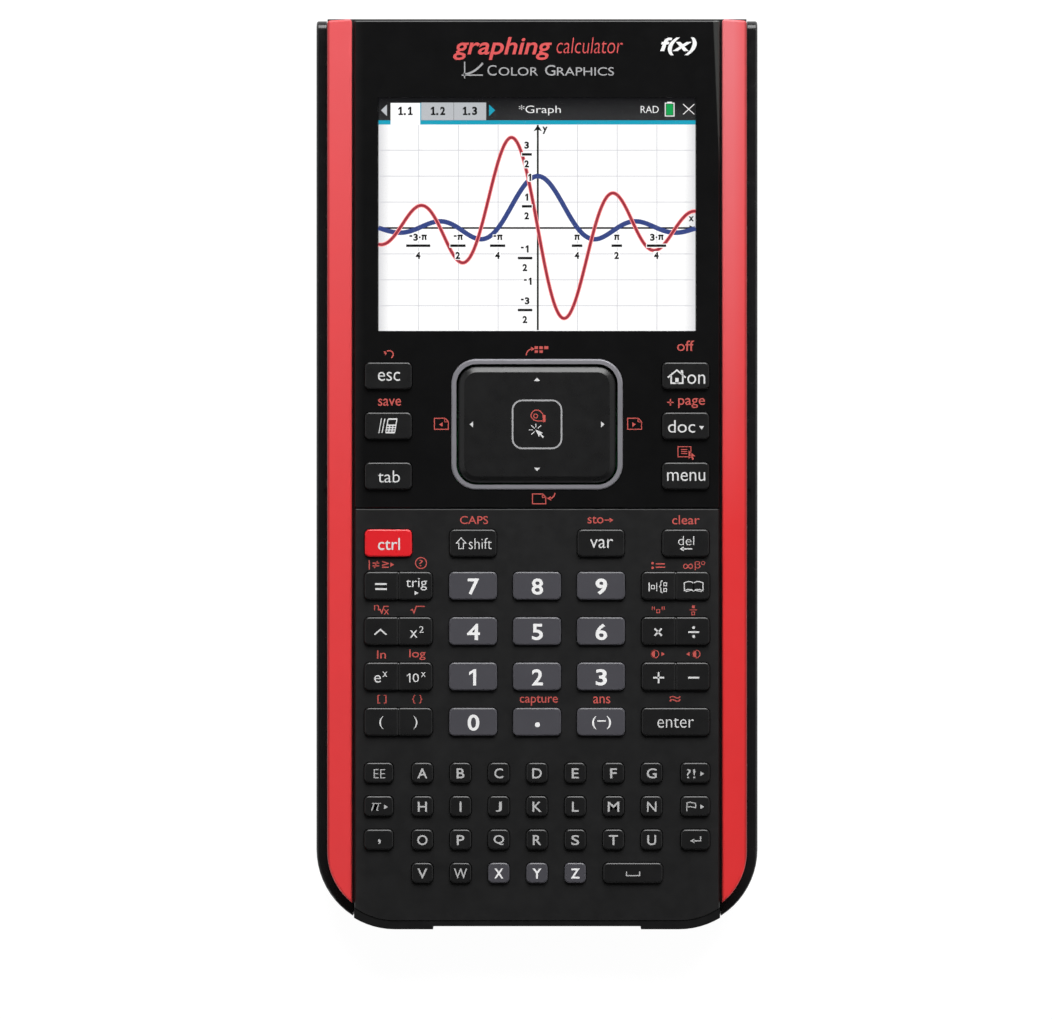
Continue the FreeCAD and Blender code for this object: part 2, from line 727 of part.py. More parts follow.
def make_front_housing():
    height = "Dims.deck_top - Dims.split_level"
    blank = shell_blank("front", "Dims.split_level", height, "Dims.rim_level - Dims.split_level")
    cavity = shared_corner(
        "front_cavity", f"{SHELL_INSET} + Dims.shell_wall", f"{HALF_LENGTH} - Dims.shell_wall",
        "Dims.split_level - Dims.overrun", "Dims.deck_bottom - Dims.split_level + Dims.overrun")
    shell = cut("front_shell", blank, [cavity])
    bosses = rods_at(
        "front_boss", SCREW_PLACES, "Dims.split_level + Dims.seam", "Dims.boss_radius",
        "Dims.deck_bottom - Dims.split_level")
    hollow = fuse("front_hollow", [shell] + bosses)
    face_seat = shared_corner(
        "front_face_seat", "Dims.rim_width - Dims.seam", HALF_LENGTH, "Dims.deck_top", "Dims.deck_top")
    through_deck = ("Dims.deck_bottom - Dims.overrun", "Dims.deck_top + Dims.overrun")
    display_reach = "(Dims.module_width / 2 + Dims.frame_margin + Dims.fit_gap)"
    display_rise = "(Dims.module_depth / 2 + Dims.frame_margin + Dims.fit_gap)"
    display_way = box(
        "front_display_way", (f"-{display_reach}", display_reach),
        (f"Dims.display_y - {display_rise}", f"Dims.display_y + {display_rise}"), through_deck)
    pad_reach = "(Dims.ring_width / 2 - Dims.ring_ledge)"
    pad_rise = "(Dims.ring_depth / 2 - Dims.ring_ledge)"
    pad_way = box(
        "front_pad_way", (f"-{pad_reach}", pad_reach),
        (f"Dims.pad_y - {pad_rise}", f"Dims.pad_y + {pad_rise}"), through_deck)
    key_margin = "(Dims.flange_reach + Dims.way_margin)"
    side_reach = f"Dims.side_width / 2 + {key_margin}"
    side_rise = f"Dims.side_depth / 2 + {key_margin}"
    side_ways = [
        box(
            f"front_side_way_{name}",
            (f"{sign} * Dims.side_x - ({side_reach})", f"{sign} * Dims.side_x + ({side_reach})"),
            (f"Dims.side_y - 2 * Dims.side_pitch - ({side_rise})", f"Dims.side_y + {side_rise}"),
            through_deck)
        for name, sign in (("left", -1), ("right", 1))]
    lowest_row = "Dims.letter_y - 3 * Dims.letter_pitch_y"
    keypad_reach = f"(Dims.wide_x + Dims.wide_width / 2 + {key_margin})"
    keypad_way = box(
        "front_keypad_way", (f"-{keypad_reach}", keypad_reach),
        (f"{lowest_row} - Dims.letter_depth / 2 - {key_margin}",
         f"Dims.function_y + Dims.function_depth / 2 + {key_margin}"), through_deck)
    pilots = rods_at(
        "front_pilot", SCREW_PLACES, "Dims.split_level", "Dims.screw_radius + Dims.close_gap",
        "Dims.deck_bottom - Dims.split_level - Dims.fit_gap")
    tools = [face_seat, display_way, pad_way, keypad_way] + side_ways + pilots
    tools.append(end_recess("front_end_recess"))
    node(cut("front", hollow, tools), "front_housing")


def faceplate(name, y_range, level):
    """A plate of the face, cut from the outline that the keypad end's rim leaves free."""
    outline = shared_corner(
        f"{name}_outline", "Dims.rim_width", HALF_LENGTH, "Dims.deck_top", f"{level} - Dims.deck_top")
    low_y, high_y = y_range
    slab = new_body(f"{name}_slab")
    sketch = flat_sketch(slab, f"{name}_span", "Dims.deck_top", "0", f"(({low_y}) + ({high_y})) / 2")
    rectangle(sketch, "2 * Dims.plate_half_width", f"({high_y}) - ({low_y})")
    flat = pad(slab, sketch, f"{level} - Dims.deck_top")
    top = number(level)
    edge_x = number("Dims.plate_half_width")
    rolled = round_edges(
        slab, flat, "Dims.plate_roll",
        lambda point: abs(point.z - top) < SAME_PLACE and abs(abs(point.x) - edge_x) < SAME_PLACE)
    ends = [number(low_y), number(high_y)]
    straight = number(f"{level} - Dims.plate_roll")
    round_edges(
        slab, rolled, "Dims.plate_end_edge",
        lambda point: point.z > straight and min(abs(point.y - end) for end in ends) < SAME_PLACE)
    return common(f"{name}_blank", outline, slab)


def key_hole_tool(name, grids, level):
    """The holes of whole grids of keys, as one body of separate prisms."""
    body = new_body(name)
    for grid in grids:
        width, depth = (f"Dims.{size} + 2 * Dims.key_clearance" for size in GRIDS[grid][:2])
        sketch, spacing = grid_sketch(body, f"{name}_{grid}", grid, "Dims.deck_top - Dims.overrun")
        rectangle(sketch, width, depth, "Dims.key_corner + Dims.key_clearance")
        prism = pad(body, sketch, f"{level} - Dims.deck_top + 2 * Dims.overrun")
        if spacing[0] * spacing[2] > 1:
            repeat(body, prism, sketch, *spacing)
    return body


def make_faceplates():
    upper = faceplate(
        "upper_plate", ("Dims.plate_split_y + Dims.seam / 2", f"{HALF_LENGTH} - Dims.plate_end_gap"),
        "Dims.upper_level")
    window_way = box(
        "upper_window_way", ("-Dims.display_width / 2", "Dims.display_width / 2"),
        ("Dims.display_y - Dims.display_depth / 2", "Dims.display_y + Dims.display_depth / 2"),
        ("Dims.deck_top - Dims.overrun", "Dims.upper_level + Dims.overrun"))
    ring_way = rounded_slab(
        "upper_ring_way", "Dims.deck_top - Dims.overrun",
        "Dims.upper_level - Dims.deck_top + 2 * Dims.overrun", "Dims.ring_width + 2 * Dims.seam",
        "Dims.ring_depth + 2 * Dims.seam", "Dims.ring_corner + Dims.seam", "0", "Dims.pad_y")
    side_holes = key_hole_tool("upper_key_holes", ["side"], "Dims.upper_level")
    node(cut("upper_plate", upper, [window_way, ring_way, side_holes]), "upper_faceplate")
    lower = faceplate(
        "lower_plate", (f"-{HALF_LENGTH}", "Dims.plate_split_y - Dims.seam / 2"), "Dims.keypad_level")
    grids = [grid for grid in GRIDS if grid != "side"]
    key_holes = [key_hole_tool(f"lower_{grid}_holes", [grid], "Dims.keypad_level") for grid in grids]
    node(cut("lower_plate", lower, key_holes), "keypad_faceplate")


def make_side_rails():
    """The coloured strips on both long edges, with a round shoulder that follows the corner."""
    top = number("Dims.rail_level")
    top_y = f"{HALF_LENGTH} - Dims.plate_end_gap / 2"
    end_y = number(top_y)
    foot = number("Dims.deck_top")
    for side, name in ((-1, "left"), (1, "right")):
        inner = f"{side} * (Dims.rail_inner_x + Dims.seam)"
        outer = f"{side} * {HALF_WIDTH}"
        low, high = (outer, inner) if side < 0 else (inner, outer)
        rail = new_body(f"rail_{name}")
        sketch = flat_sketch(
            rail, f"rail_{name}_sketch", "Dims.deck_top", f"(({low}) + ({high})) / 2", "0")
        rectangle(sketch, f"({high}) - ({low})", "Dims.overall_length + Dims.overrun")
        strip = pad(rail, sketch, "Dims.rail_level - Dims.deck_top")
        inner_x = number(inner)
        round_edges(
            rail, strip, "Dims.rail_inner_edge",
            lambda point: abs(point.z - top) < SAME_PLACE and abs(point.x - inner_x) < SAME_PLACE)
        outline = shared_corner(
            f"rail_{name}_outline", SHELL_INSET, top_y, "Dims.deck_top", "Dims.rail_level - Dims.deck_top")
        shoulder = round_edges(
            outline, outline.Tip, "Dims.rail_shoulder",
            lambda point: abs(point.z - top) < SAME_PLACE and point.y < end_y - SAME_PLACE)
        round_edges(
            outline, shoulder, "Dims.rail_end_edge",
            lambda point: abs(point.y - end_y) < SAME_PLACE and point.z > foot + SAME_PLACE)
        node(common(f"rail_{name}_cut", rail, outline), f"side_rail_{name}")


# --- Display ----------------------------------------------------------------------------------

def make_display():
    node(rounded_slab(
        "window", "Dims.upper_level - Dims.window_thickness", "Dims.window_thickness",
        "Dims.display_width - Dims.seam", "Dims.display_depth - Dims.seam", "Dims.seam",
        "0", "Dims.display_y"), "display_window")
    node(rounded_slab(
        "module", "Dims.module_bottom", "Dims.module_top - Dims.module_bottom", "Dims.module_width",
        "Dims.module_depth", "Dims.module_corner", "0", "Dims.display_y"), "display_panel")
    tray = rounded_slab(
        "frame_tray", "Dims.module_bottom - Dims.frame_floor",
        "Dims.module_top - Dims.module_bottom + Dims.frame_floor",
        "Dims.module_width + 2 * Dims.frame_margin", "Dims.module_depth + 2 * Dims.frame_margin",
        "Dims.frame_margin", "0", "Dims.display_y")
    seat = rounded_slab(
        "frame_seat", "Dims.module_bottom", "Dims.module_top", "Dims.module_width + 2 * Dims.seam",
        "Dims.module_depth + 2 * Dims.seam", "Dims.module_corner", "0", "Dims.display_y")
    opening = rounded_slab(
        "frame_opening", "Dims.module_bottom - Dims.overrun", "2 * Dims.overrun",
        "Dims.module_width - 2 * Dims.frame_lip", "Dims.module_depth - 2 * Dims.frame_lip",
        "Dims.frame_lip_corner", "0", "Dims.display_y")
    node(cut("frame", tray, [seat, opening]), "display_frame")


# --- Touchpad ---------------------------------------------------------------------------------

def pad_slab(name, level, height, inset):
    """A slab with the touchpad's outline, `inset` inside the ring's outer edge."""
    return rounded_slab(
        name, level, height, f"Dims.ring_width - 2 * ({inset})", f"Dims.ring_depth - 2 * ({inset})",
        f"Dims.ring_corner - ({inset})", "0", "Dims.pad_y")


def square(name, level, height, width):
    half = f"({width}) / 2"
    return box(
        name, (f"-{half}", half), (f"Dims.pad_y - {half}", f"Dims.pad_y + {half}"),
        (level, f"({level}) + ({height})"))


def rib(name, level, turned):
    """A half-round rib that the part above it rocks on."""
    rod = doc.addObject("Part::Cylinder", name)
    length = "Dims.tilt_width - 2 * Dims.tilt_margin"
    bind(rod, Radius="Dims.tilt_rib_radius", Height=length, Placement__Base__z=level)
    if turned:
        rod.Placement.Rotation = FreeCAD.Rotation(FreeCAD.Vector(0, 1, 0), 90)
        bind(rod, Placement__Base__x=f"-({length}) / 2", Placement__Base__y="Dims.pad_y")
    else:
        rod.Placement.Rotation = FreeCAD.Rotation(FreeCAD.Vector(1, 0, 0), -90)
        bind(rod, Placement__Base__y=f"Dims.pad_y - ({length}) / 2")
    return rod


def make_touchpad():
    """A plate in a bright ring, rocking two ways on a tilt frame over a support that clicks down."""
    ring = pad_slab("ring_outside", "Dims.deck_top", "Dims.ring_level - Dims.deck_top", "0")
    top = number("Dims.ring_level")
    round_edges(ring, ring.Tip, "Dims.ring_band / 3", level_is(top))
    ring_hole = pad_slab("ring_inside", "Dims.deck_top - Dims.overrun", "Dims.ring_level", "Dims.ring_band")
    node(cut("ring", ring, [ring_hole]), "touchpad_ring")

    plate = pad_slab(
        "pad_slab", "Dims.pad_level - Dims.pad_thickness", "Dims.pad_thickness",
        "Dims.ring_band + Dims.pad_gap")
    round_edges(plate, plate.Tip, "Dims.pad_edge", level_is(number("Dims.pad_level")))
    sensor_bottom = "Dims.pad_level - Dims.pad_thickness - Dims.sensor_thickness"
    boss = square("pad_boss", sensor_bottom, "Dims.sensor_thickness + 2 * Dims.seam", "Dims.tilt_width")
    upper_rib = rib("pad_rib", sensor_bottom, False)
    node(fuse("pad", [plate, boss, upper_rib]), "touchpad_plate")

    sensor = pad_slab(
        "sensor_slab", sensor_bottom, "Dims.sensor_thickness", "Dims.ring_band + 3 * Dims.pad_gap")
    sensor_hole = square(
        "sensor_hole", f"{sensor_bottom} - Dims.overrun", "Dims.sensor_thickness + 2 * Dims.overrun",
        "Dims.tilt_width + Dims.tilt_margin")
    node(cut("sensor", sensor, [sensor_hole]), "touchpad_sensor")

    frame_slab = square("tilt_slab", "Dims.tilt_level", "Dims.tilt_thickness", "Dims.tilt_width")
    node(fuse("tilt", [frame_slab, rib("tilt_rib", "Dims.tilt_level", True)]), "touchpad_tilt_frame")

    support = square(
        "support_slab", "Dims.support_top - Dims.support_thickness", "Dims.support_thickness",
        "Dims.tilt_width + 2 * Dims.tilt_margin")
    stem = cylinder(
        "support_stem", "0", "Dims.pad_y", "Dims.support_stem_bottom", "Dims.support_stem_radius",
        "Dims.support_top - Dims.support_stem_bottom - 2 * Dims.seam")
    node(fuse("support", [support, stem]), "touchpad_support")


# --- Inner pieces -----------------------------------------------------------------------------

def make_membrane():
    """The rubber sheet under the keys, with one low dome for each contact."""
    body = new_body("membrane_body")
    lowest = "Dims.letter_y - 3 * Dims.letter_pitch_y - Dims.letter_depth / 2 - Dims.way_margin"
    highest = "Dims.side_y + Dims.side_depth / 2 + 3 * Dims.way_margin"
    sheet_sketch = flat_sketch(
        body, "membrane_sheet", "Dims.membrane_bottom", "0", f"(({lowest}) + ({highest})) / 2")
    rectangle(
        sheet_sketch, "2 * Dims.wide_x + Dims.wide_width", f"({highest}) - ({lowest})",
        "Dims.membrane_corner")
    pad(body, sheet_sketch, "Dims.membrane_thickness")
    for grid in GRIDS:
        sketch, spacing = grid_sketch(
            body, f"membrane_{grid}", grid, "Dims.membrane_bottom + Dims.membrane_thickness")
        circle(sketch, "Dims.dome_radius")
        dome = pad(body, sketch, "Dims.dome_rise")
        if spacing[0] * spacing[2] > 1:
            repeat(body, dome, sketch, *spacing)
    pad_way = box(
        "membrane_pad_way",
        ("-Dims.ring_width / 2 - 2 * Dims.way_margin", "Dims.ring_width / 2 + 2 * Dims.way_margin"),
        ("Dims.pad_y - Dims.ring_depth / 2 - 2 * Dims.way_margin", "Dims.display_y"),
        ("Dims.board_bottom", "Dims.deck_top"))
    boss_ways = rods_at(
        "membrane_boss_way", SCREW_PLACES, "Dims.board_bottom", "Dims.boss_radius + Dims.fit_gap",
        "Dims.deck_top - Dims.board_bottom")
    node(cut("membrane", body, [pad_way] + boss_ways), "key_membrane")


def make_board():
    blank = shared_corner(
        "board_blank", f"{SHELL_INSET} + Dims.shell_wall + Dims.board_gap",
        f"{HALF_LENGTH} - Dims.shell_wall - Dims.board_gap", "Dims.board_bottom", "Dims.board_thickness")
    boss_ways = rods_at(
        "board_boss_way", SCREW_PLACES, "Dims.board_bottom - Dims.overrun",
        "Dims.boss_radius + 2 * Dims.fit_gap", "Dims.board_thickness + 2 * Dims.overrun")
    node(cut("board", blank, boss_ways), "main_board")
    chip_top = "Dims.board_bottom - Dims.hair_gap"
    chips = []
    for index, (x, y, width, depth) in enumerate(CHIPS, start=1):
        chips.append(box(
            f"chip_{index}", (x - width / 2, x + width / 2), (y - depth / 2, y + depth / 2),
            (f"{chip_top} - Dims.chip_thickness", chip_top)))
    node(group("chips", chips), "board_chips")


def make_battery():
    node(rounded_slab(
        "battery", "Dims.battery_bottom", "Dims.battery_thickness", "Dims.battery_width",
        "Dims.battery_length", "Dims.battery_corner", "0", "Dims.door_y"), "battery_pack")


def door_screw_places():
    top_y = "Dims.door_y + Dims.door_length / 2 - Dims.door_screw_inset"
    return [("-Dims.door_screw_x", top_y), ("Dims.door_screw_x", top_y)]


def make_battery_door():
    panel = rounded_slab(
        "door_panel", "Dims.back_level", "Dims.door_thickness", "Dims.door_width", "Dims.door_length",
        "Dims.door_corner", "0", "Dims.door_y")
    holes = rods_at(
        "door_hole", door_screw_places(), "0", "Dims.door_screw_radius + Dims.seam", "Dims.split_level")
    seats = rods_at(
        "door_seat", door_screw_places(), "0", "Dims.door_screw_head + 2 * Dims.seam",
        "Dims.back_level + Dims.door_head_seat")
    node(cut("door", panel, holes + seats), "battery_door")


def screw(name, x, y, level, head_radius, head_height, radius, length):
    """A screw driven upwards, its head at the bottom with a cross recess."""
    head = cylinder(f"{name}_head", x, y, level, head_radius, head_height)
    shank = cylinder(f"{name}_shank", x, y, level, radius, f"({head_height}) + ({length})")
    slots = [
        box(
            f"{name}_slot_{index}", (f"{x} - {across} * {head_radius}", f"{x} + {across} * {head_radius}"),
            (f"{y} - {along} * {head_radius}", f"{y} + {along} * {head_radius}"),
            (f"({level}) - Dims.seam", f"({level}) + {CROSS_DEPTH} * ({head_height})"))
        for index, (across, along) in enumerate(
            [(CROSS_REACH, CROSS_HALF_WIDTH), (CROSS_HALF_WIDTH, CROSS_REACH)], start=1)]
    return cut(f"{name}_driven", fuse(f"{name}_solid", [head, shank]), slots)


def make_screws():
    housing = [
        screw(
            f"housing_screw_{index}", x, y, "Dims.back_level + Dims.free_gap", "Dims.screw_head_radius",
            "Dims.screw_head_height", "Dims.screw_radius", "Dims.screw_length")
        for index, (x, y) in enumerate(SCREW_PLACES, start=1)]
    node(group("housing_screw_group", housing), "housing_screws")
    door = [
        screw(
            f"door_screw_{index}", x, y, "Dims.back_level + Dims.seam", "Dims.door_screw_head",
            "Dims.door_head_height", "Dims.door_screw_radius", "Dims.door_screw_length")
        for index, (x, y) in enumerate(door_screw_places(), start=1)]
    node(group("door_screw_group", door), "battery_door_screws")


def make_small_pieces():
    feet = rods_at("foot", FOOT_PLACES, "Dims.foot_bottom", "Dims.foot_radius", "Dims.foot_height")
    node(group("feet", feet), "rubber_feet")

    mouth_y = f"{HALF_LENGTH} - Dims.fit_gap"
    socket = box(
        "socket_shell", ("-Dims.socket_width / 2", "Dims.socket_width / 2"),
        (f"{mouth_y} - Dims.socket_length", mouth_y),
        ("Dims.socket_bottom", "Dims.socket_bottom + Dims.socket_height"))
    hollow = box(
        "socket_hollow",
        ("Dims.socket_wall - Dims.socket_width / 2", "Dims.socket_width / 2 - Dims.socket_wall"),
        (f"{mouth_y} - Dims.socket_length + 2 * Dims.tongue_root", f"{mouth_y} + Dims.overrun"),
        ("Dims.socket_bottom + Dims.socket_wall",
         "Dims.socket_bottom + Dims.socket_height - Dims.socket_wall"))
    tongue = box(
        "socket_tongue", ("-Dims.socket_width / 4", "Dims.socket_width / 4"),
        (f"{mouth_y} - Dims.socket_length + Dims.tongue_root", f"{mouth_y} - Dims.tongue_inset"),
        ("Dims.socket_bottom + Dims.tongue_inset",
         "Dims.socket_bottom + Dims.tongue_inset + Dims.tongue_thickness"))
    node(fuse("socket", [cut("socket_shell", socket, [hollow]), tongue]), "usb_socket")

    contacts = []
    for index in range(CONTACT_COUNT):
        centre = f"({index} - ({CONTACT_COUNT} - 1) / 2) * Dims.contact_pitch"
        contacts.append(box(
            f"contact_{index + 1}",
            (f"{centre} - Dims.contact_width / 2", f"{centre} + Dims.contact_width / 2"),
            (f"Dims.end_recess_depth + Dims.seam - {HALF_LENGTH}",
             f"Dims.end_recess_depth + Dims.seam + Dims.contact_depth - {HALF_LENGTH}"),
            ("Dims.contact_bottom", "Dims.contact_bottom + Dims.contact_height")))
    node(group("contacts", contacts), "dock_contacts")

    floor_top = "Dims.back_level + Dims.back_thickness"
    stem = cylinder(
        "reset_stem", "Dims.reset_x", "Dims.reset_y", "Dims.back_level + Dims.reset_inset",
        "Dims.reset_radius", "Dims.back_thickness + 2 * Dims.overrun")
    collar = cylinder(
        "reset_collar", "Dims.reset_x", "Dims.reset_y", f"{floor_top} + Dims.close_gap",
        "Dims.reset_radius + Dims.reset_collar", "Dims.reset_collar")
    node(fuse("reset", [stem, collar]), "reset_button")


make_slide_case()
make_rear_cover()
make_front_housing()
make_faceplates()
make_side_rails()
make_display()
make_touchpad()
make_membrane()
make_board()
make_battery()
make_battery_door()
make_screws()
make_small_pieces()
doc.recompute()

for thing in doc.Objects:
    if {"Invalid", "Error"} & set(thing.State):
        raise RuntimeError(f"{thing.Name} did not compute: {thing.State}")
os.makedirs("parts", exist_ok=True)
for piece in nodes:
    shape = piece.Shape
    if shape.isNull() or not shape.isValid() or not shape.Solids:
        raise RuntimeError(f"{piece.Label} has no valid solid")
    shape.exportStep(f"parts/{piece.Label}.step")
    print(f"{piece.Label}: {len(shape.Solids)} solid(s), {shape.Volume:.1f} mm3")
print(f"{len(nodes)} nodes")
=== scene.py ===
"""Looks of the graphing calculator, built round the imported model.

Metres, in the model's frame: +X to the right, +Y towards the display end, +Z out of the keys.
Flat artwork is drawn in millimetres and made into thin solids.
"""
import json
import math
import bmesh
import bpy
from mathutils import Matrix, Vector
from mathutils.geometry import tessellate_polygon


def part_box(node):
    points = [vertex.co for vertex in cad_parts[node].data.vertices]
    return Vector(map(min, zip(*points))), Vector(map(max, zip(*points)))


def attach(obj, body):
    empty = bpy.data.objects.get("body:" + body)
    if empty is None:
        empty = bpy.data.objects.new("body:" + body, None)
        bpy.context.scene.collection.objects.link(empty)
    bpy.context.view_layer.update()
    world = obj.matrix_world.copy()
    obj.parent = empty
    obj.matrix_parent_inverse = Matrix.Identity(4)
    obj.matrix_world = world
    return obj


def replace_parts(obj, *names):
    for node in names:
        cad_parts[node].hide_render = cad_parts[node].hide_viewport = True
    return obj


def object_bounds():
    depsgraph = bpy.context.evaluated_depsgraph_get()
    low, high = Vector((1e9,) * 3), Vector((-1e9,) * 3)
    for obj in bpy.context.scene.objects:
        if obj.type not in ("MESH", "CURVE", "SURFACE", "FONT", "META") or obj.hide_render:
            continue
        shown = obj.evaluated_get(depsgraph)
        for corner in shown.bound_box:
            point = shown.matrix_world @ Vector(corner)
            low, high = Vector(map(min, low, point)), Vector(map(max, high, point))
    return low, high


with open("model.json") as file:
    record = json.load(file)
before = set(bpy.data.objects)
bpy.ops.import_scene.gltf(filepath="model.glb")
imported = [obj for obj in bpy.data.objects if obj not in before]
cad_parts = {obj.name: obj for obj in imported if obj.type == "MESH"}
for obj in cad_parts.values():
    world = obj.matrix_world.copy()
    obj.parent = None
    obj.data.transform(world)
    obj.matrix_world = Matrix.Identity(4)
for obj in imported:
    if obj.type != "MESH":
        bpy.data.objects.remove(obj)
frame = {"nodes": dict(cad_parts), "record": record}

MM = 0.001
CAD_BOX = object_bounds()
NODES = frame["nodes"]


# --- Materials ---------------------------------------------------------------------------------

def shade(red, green, blue):
    """Linear colour from display values of 0 to 255."""
    return tuple(
        value / 12.92 if value <= 0.04045 else ((value + 0.055) / 1.055) ** 2.4
        for value in (red / 255, green / 255, blue / 255))


def varied(colour, drift):
    """A darker and a lighter colour round `colour`."""
    return (tuple(value * (1 - drift) for value in colour),
            tuple(value * (1 + drift) for value in colour))


class Shader:
    """A node tree round one Principled BSDF, textured in the piece's own coordinates."""

    def __init__(self, name, **values):
        self.material = bpy.data.materials.new(name)
        self.material.use_nodes = True
        self.tree = self.material.node_tree
        self.bsdf = self.tree.nodes["Principled BSDF"]
        for socket, value in values.items():
            self.bsdf.inputs[socket.replace("_", " ")].default_value = value
        self.place = self.add("ShaderNodeTexCoord").outputs["Object"]

    def add(self, kind, **values):
        made = self.tree.nodes.new(kind)
        for name, value in values.items():
            setattr(made, name, value)
        return made

    def link(self, source, target):
        self.tree.links.new(source, target)

    def noise(self, size, detail=3.0, stretch=None):
        """Noise whose features are about `size` millimetres."""
        made = self.add("ShaderNodeTexNoise")
        made.inputs["Scale"].default_value = 1 / (size * MM)
        made.inputs["Detail"].default_value = detail
        place = self.place
        if stretch:
            mapping = self.add("ShaderNodeMapping")
            mapping.inputs["Scale"].default_value = stretch
            self.link(place, mapping.inputs["Vector"])
            place = mapping.outputs["Vector"]
        self.link(place, made.inputs["Vector"])
        return made.outputs["Fac"]

    def ramp(self, factor, low, high, start=0.3, end=0.7):
        """`factor` from start to end turned into a number from low to high."""
        made = self.add("ShaderNodeMapRange")
        for socket, value in (("From Min", start), ("From Max", end), ("To Min", low), ("To Max", high)):
            made.inputs[socket].default_value = value
        self.link(factor, made.inputs["Value"])
        return made.outputs["Result"]

    def blend(self, factor, first, second):
        made = self.add("ShaderNodeMix", data_type="RGBA")
        for index, colour in ((6, first), (7, second)):
            if isinstance(colour, tuple):
                made.inputs[index].default_value = (*colour, 1.0)
            else:
                self.link(colour, made.inputs[index])
        self.link(factor, made.inputs[0])
        return made.outputs[2]

    def bump(self, height, strength, depth):
        made = self.add("ShaderNodeBump")
        made.inputs["Strength"].default_value = strength
        made.inputs["Distance"].default_value = depth * MM
        self.link(height, made.inputs["Height"])
        self.link(made.outputs["Normal"], self.bsdf.inputs["Normal"])

    def axis(self, index):
        split = self.add("ShaderNodeSeparateXYZ")
        self.link(self.place, split.inputs[0])
        return split.outputs[index]

    def math(self, operation, first, second=0.0):
        made = self.add("ShaderNodeMath", operation=operation)
        for index, value in enumerate((first, second)):
            if isinstance(value, float):
                made.inputs[index].default_value = value
            else:
                self.link(value, made.inputs[index])
        return made.outputs[0]

    def side(self):
        """Distance from the middle, across X."""
        return self.math("ABSOLUTE", self.axis(0))

    def tint(self, factor, colour, socket="Base Color"):
        """Lays another colour over part of the surface."""
        target = self.bsdf.inputs[socket]
        self.link(self.blend(factor, target.links[0].from_socket, colour), target)


# Sizes of what varies over a moulded surface, in millimetres.
CLOUD_SIZE = 9.0
GLOSS_SIZE = 2.5
GRAIN_DEPTH = 0.05
SCRATCH_SIZE = 0.3
SCRATCH_DEPTH = 0.04
BACKLIGHT_SIZE = 14.0


def plastic(name, colour, rough=(0.4, 0.5), grain=0.25, relief=0.08, drift=0.12, **values):
    """Moulded plastic: a slight drift of colour, uneven gloss and a fine grain."""
    made = Shader(name, **values)
    cloud = made.ramp(made.noise(CLOUD_SIZE), 0.0, 1.0)
    made.link(made.blend(cloud, *varied(colour, drift)), made.bsdf.inputs["Base Color"])
    made.link(made.ramp(made.noise(GLOSS_SIZE), *rough), made.bsdf.inputs["Roughness"])
    made.bump(made.noise(grain, 2.0), relief, GRAIN_DEPTH)
    return made


def metal(name, colour, rough=(0.25, 0.4), stretch=(1.0, 12.0, 1.0), relief=0.05, drift=0.1):
    """Metal with fine drawn lines."""
    made = plastic(name, colour, rough, 0.4, 0.0, drift, Metallic=1.0)
    made.bump(made.noise(SCRATCH_SIZE, 2.0, stretch), relief, SCRATCH_DEPTH)
    return made


def ink(name, colour, rough=(0.5, 0.65)):
    """Printed ink, a little uneven."""
    return plastic(name, colour, rough, 0.12, 0.1, 0.05).material


def lit(name, colour, strength=1.08):
    """One colour of the display's picture, with the faint unevenness of its backlight."""
    made = Shader(name, Base_Color=(0.01, 0.01, 0.01, 1.0), Roughness=0.4, Specular_IOR_Level=0.0)
    cloud = made.ramp(made.noise(BACKLIGHT_SIZE, 1.0), 0.0, 1.0)
    made.link(made.blend(cloud, varied(colour, 0.03)[0], colour), made.bsdf.inputs["Emission Color"])
    made.bsdf.inputs["Emission Strength"].default_value = strength
    return made


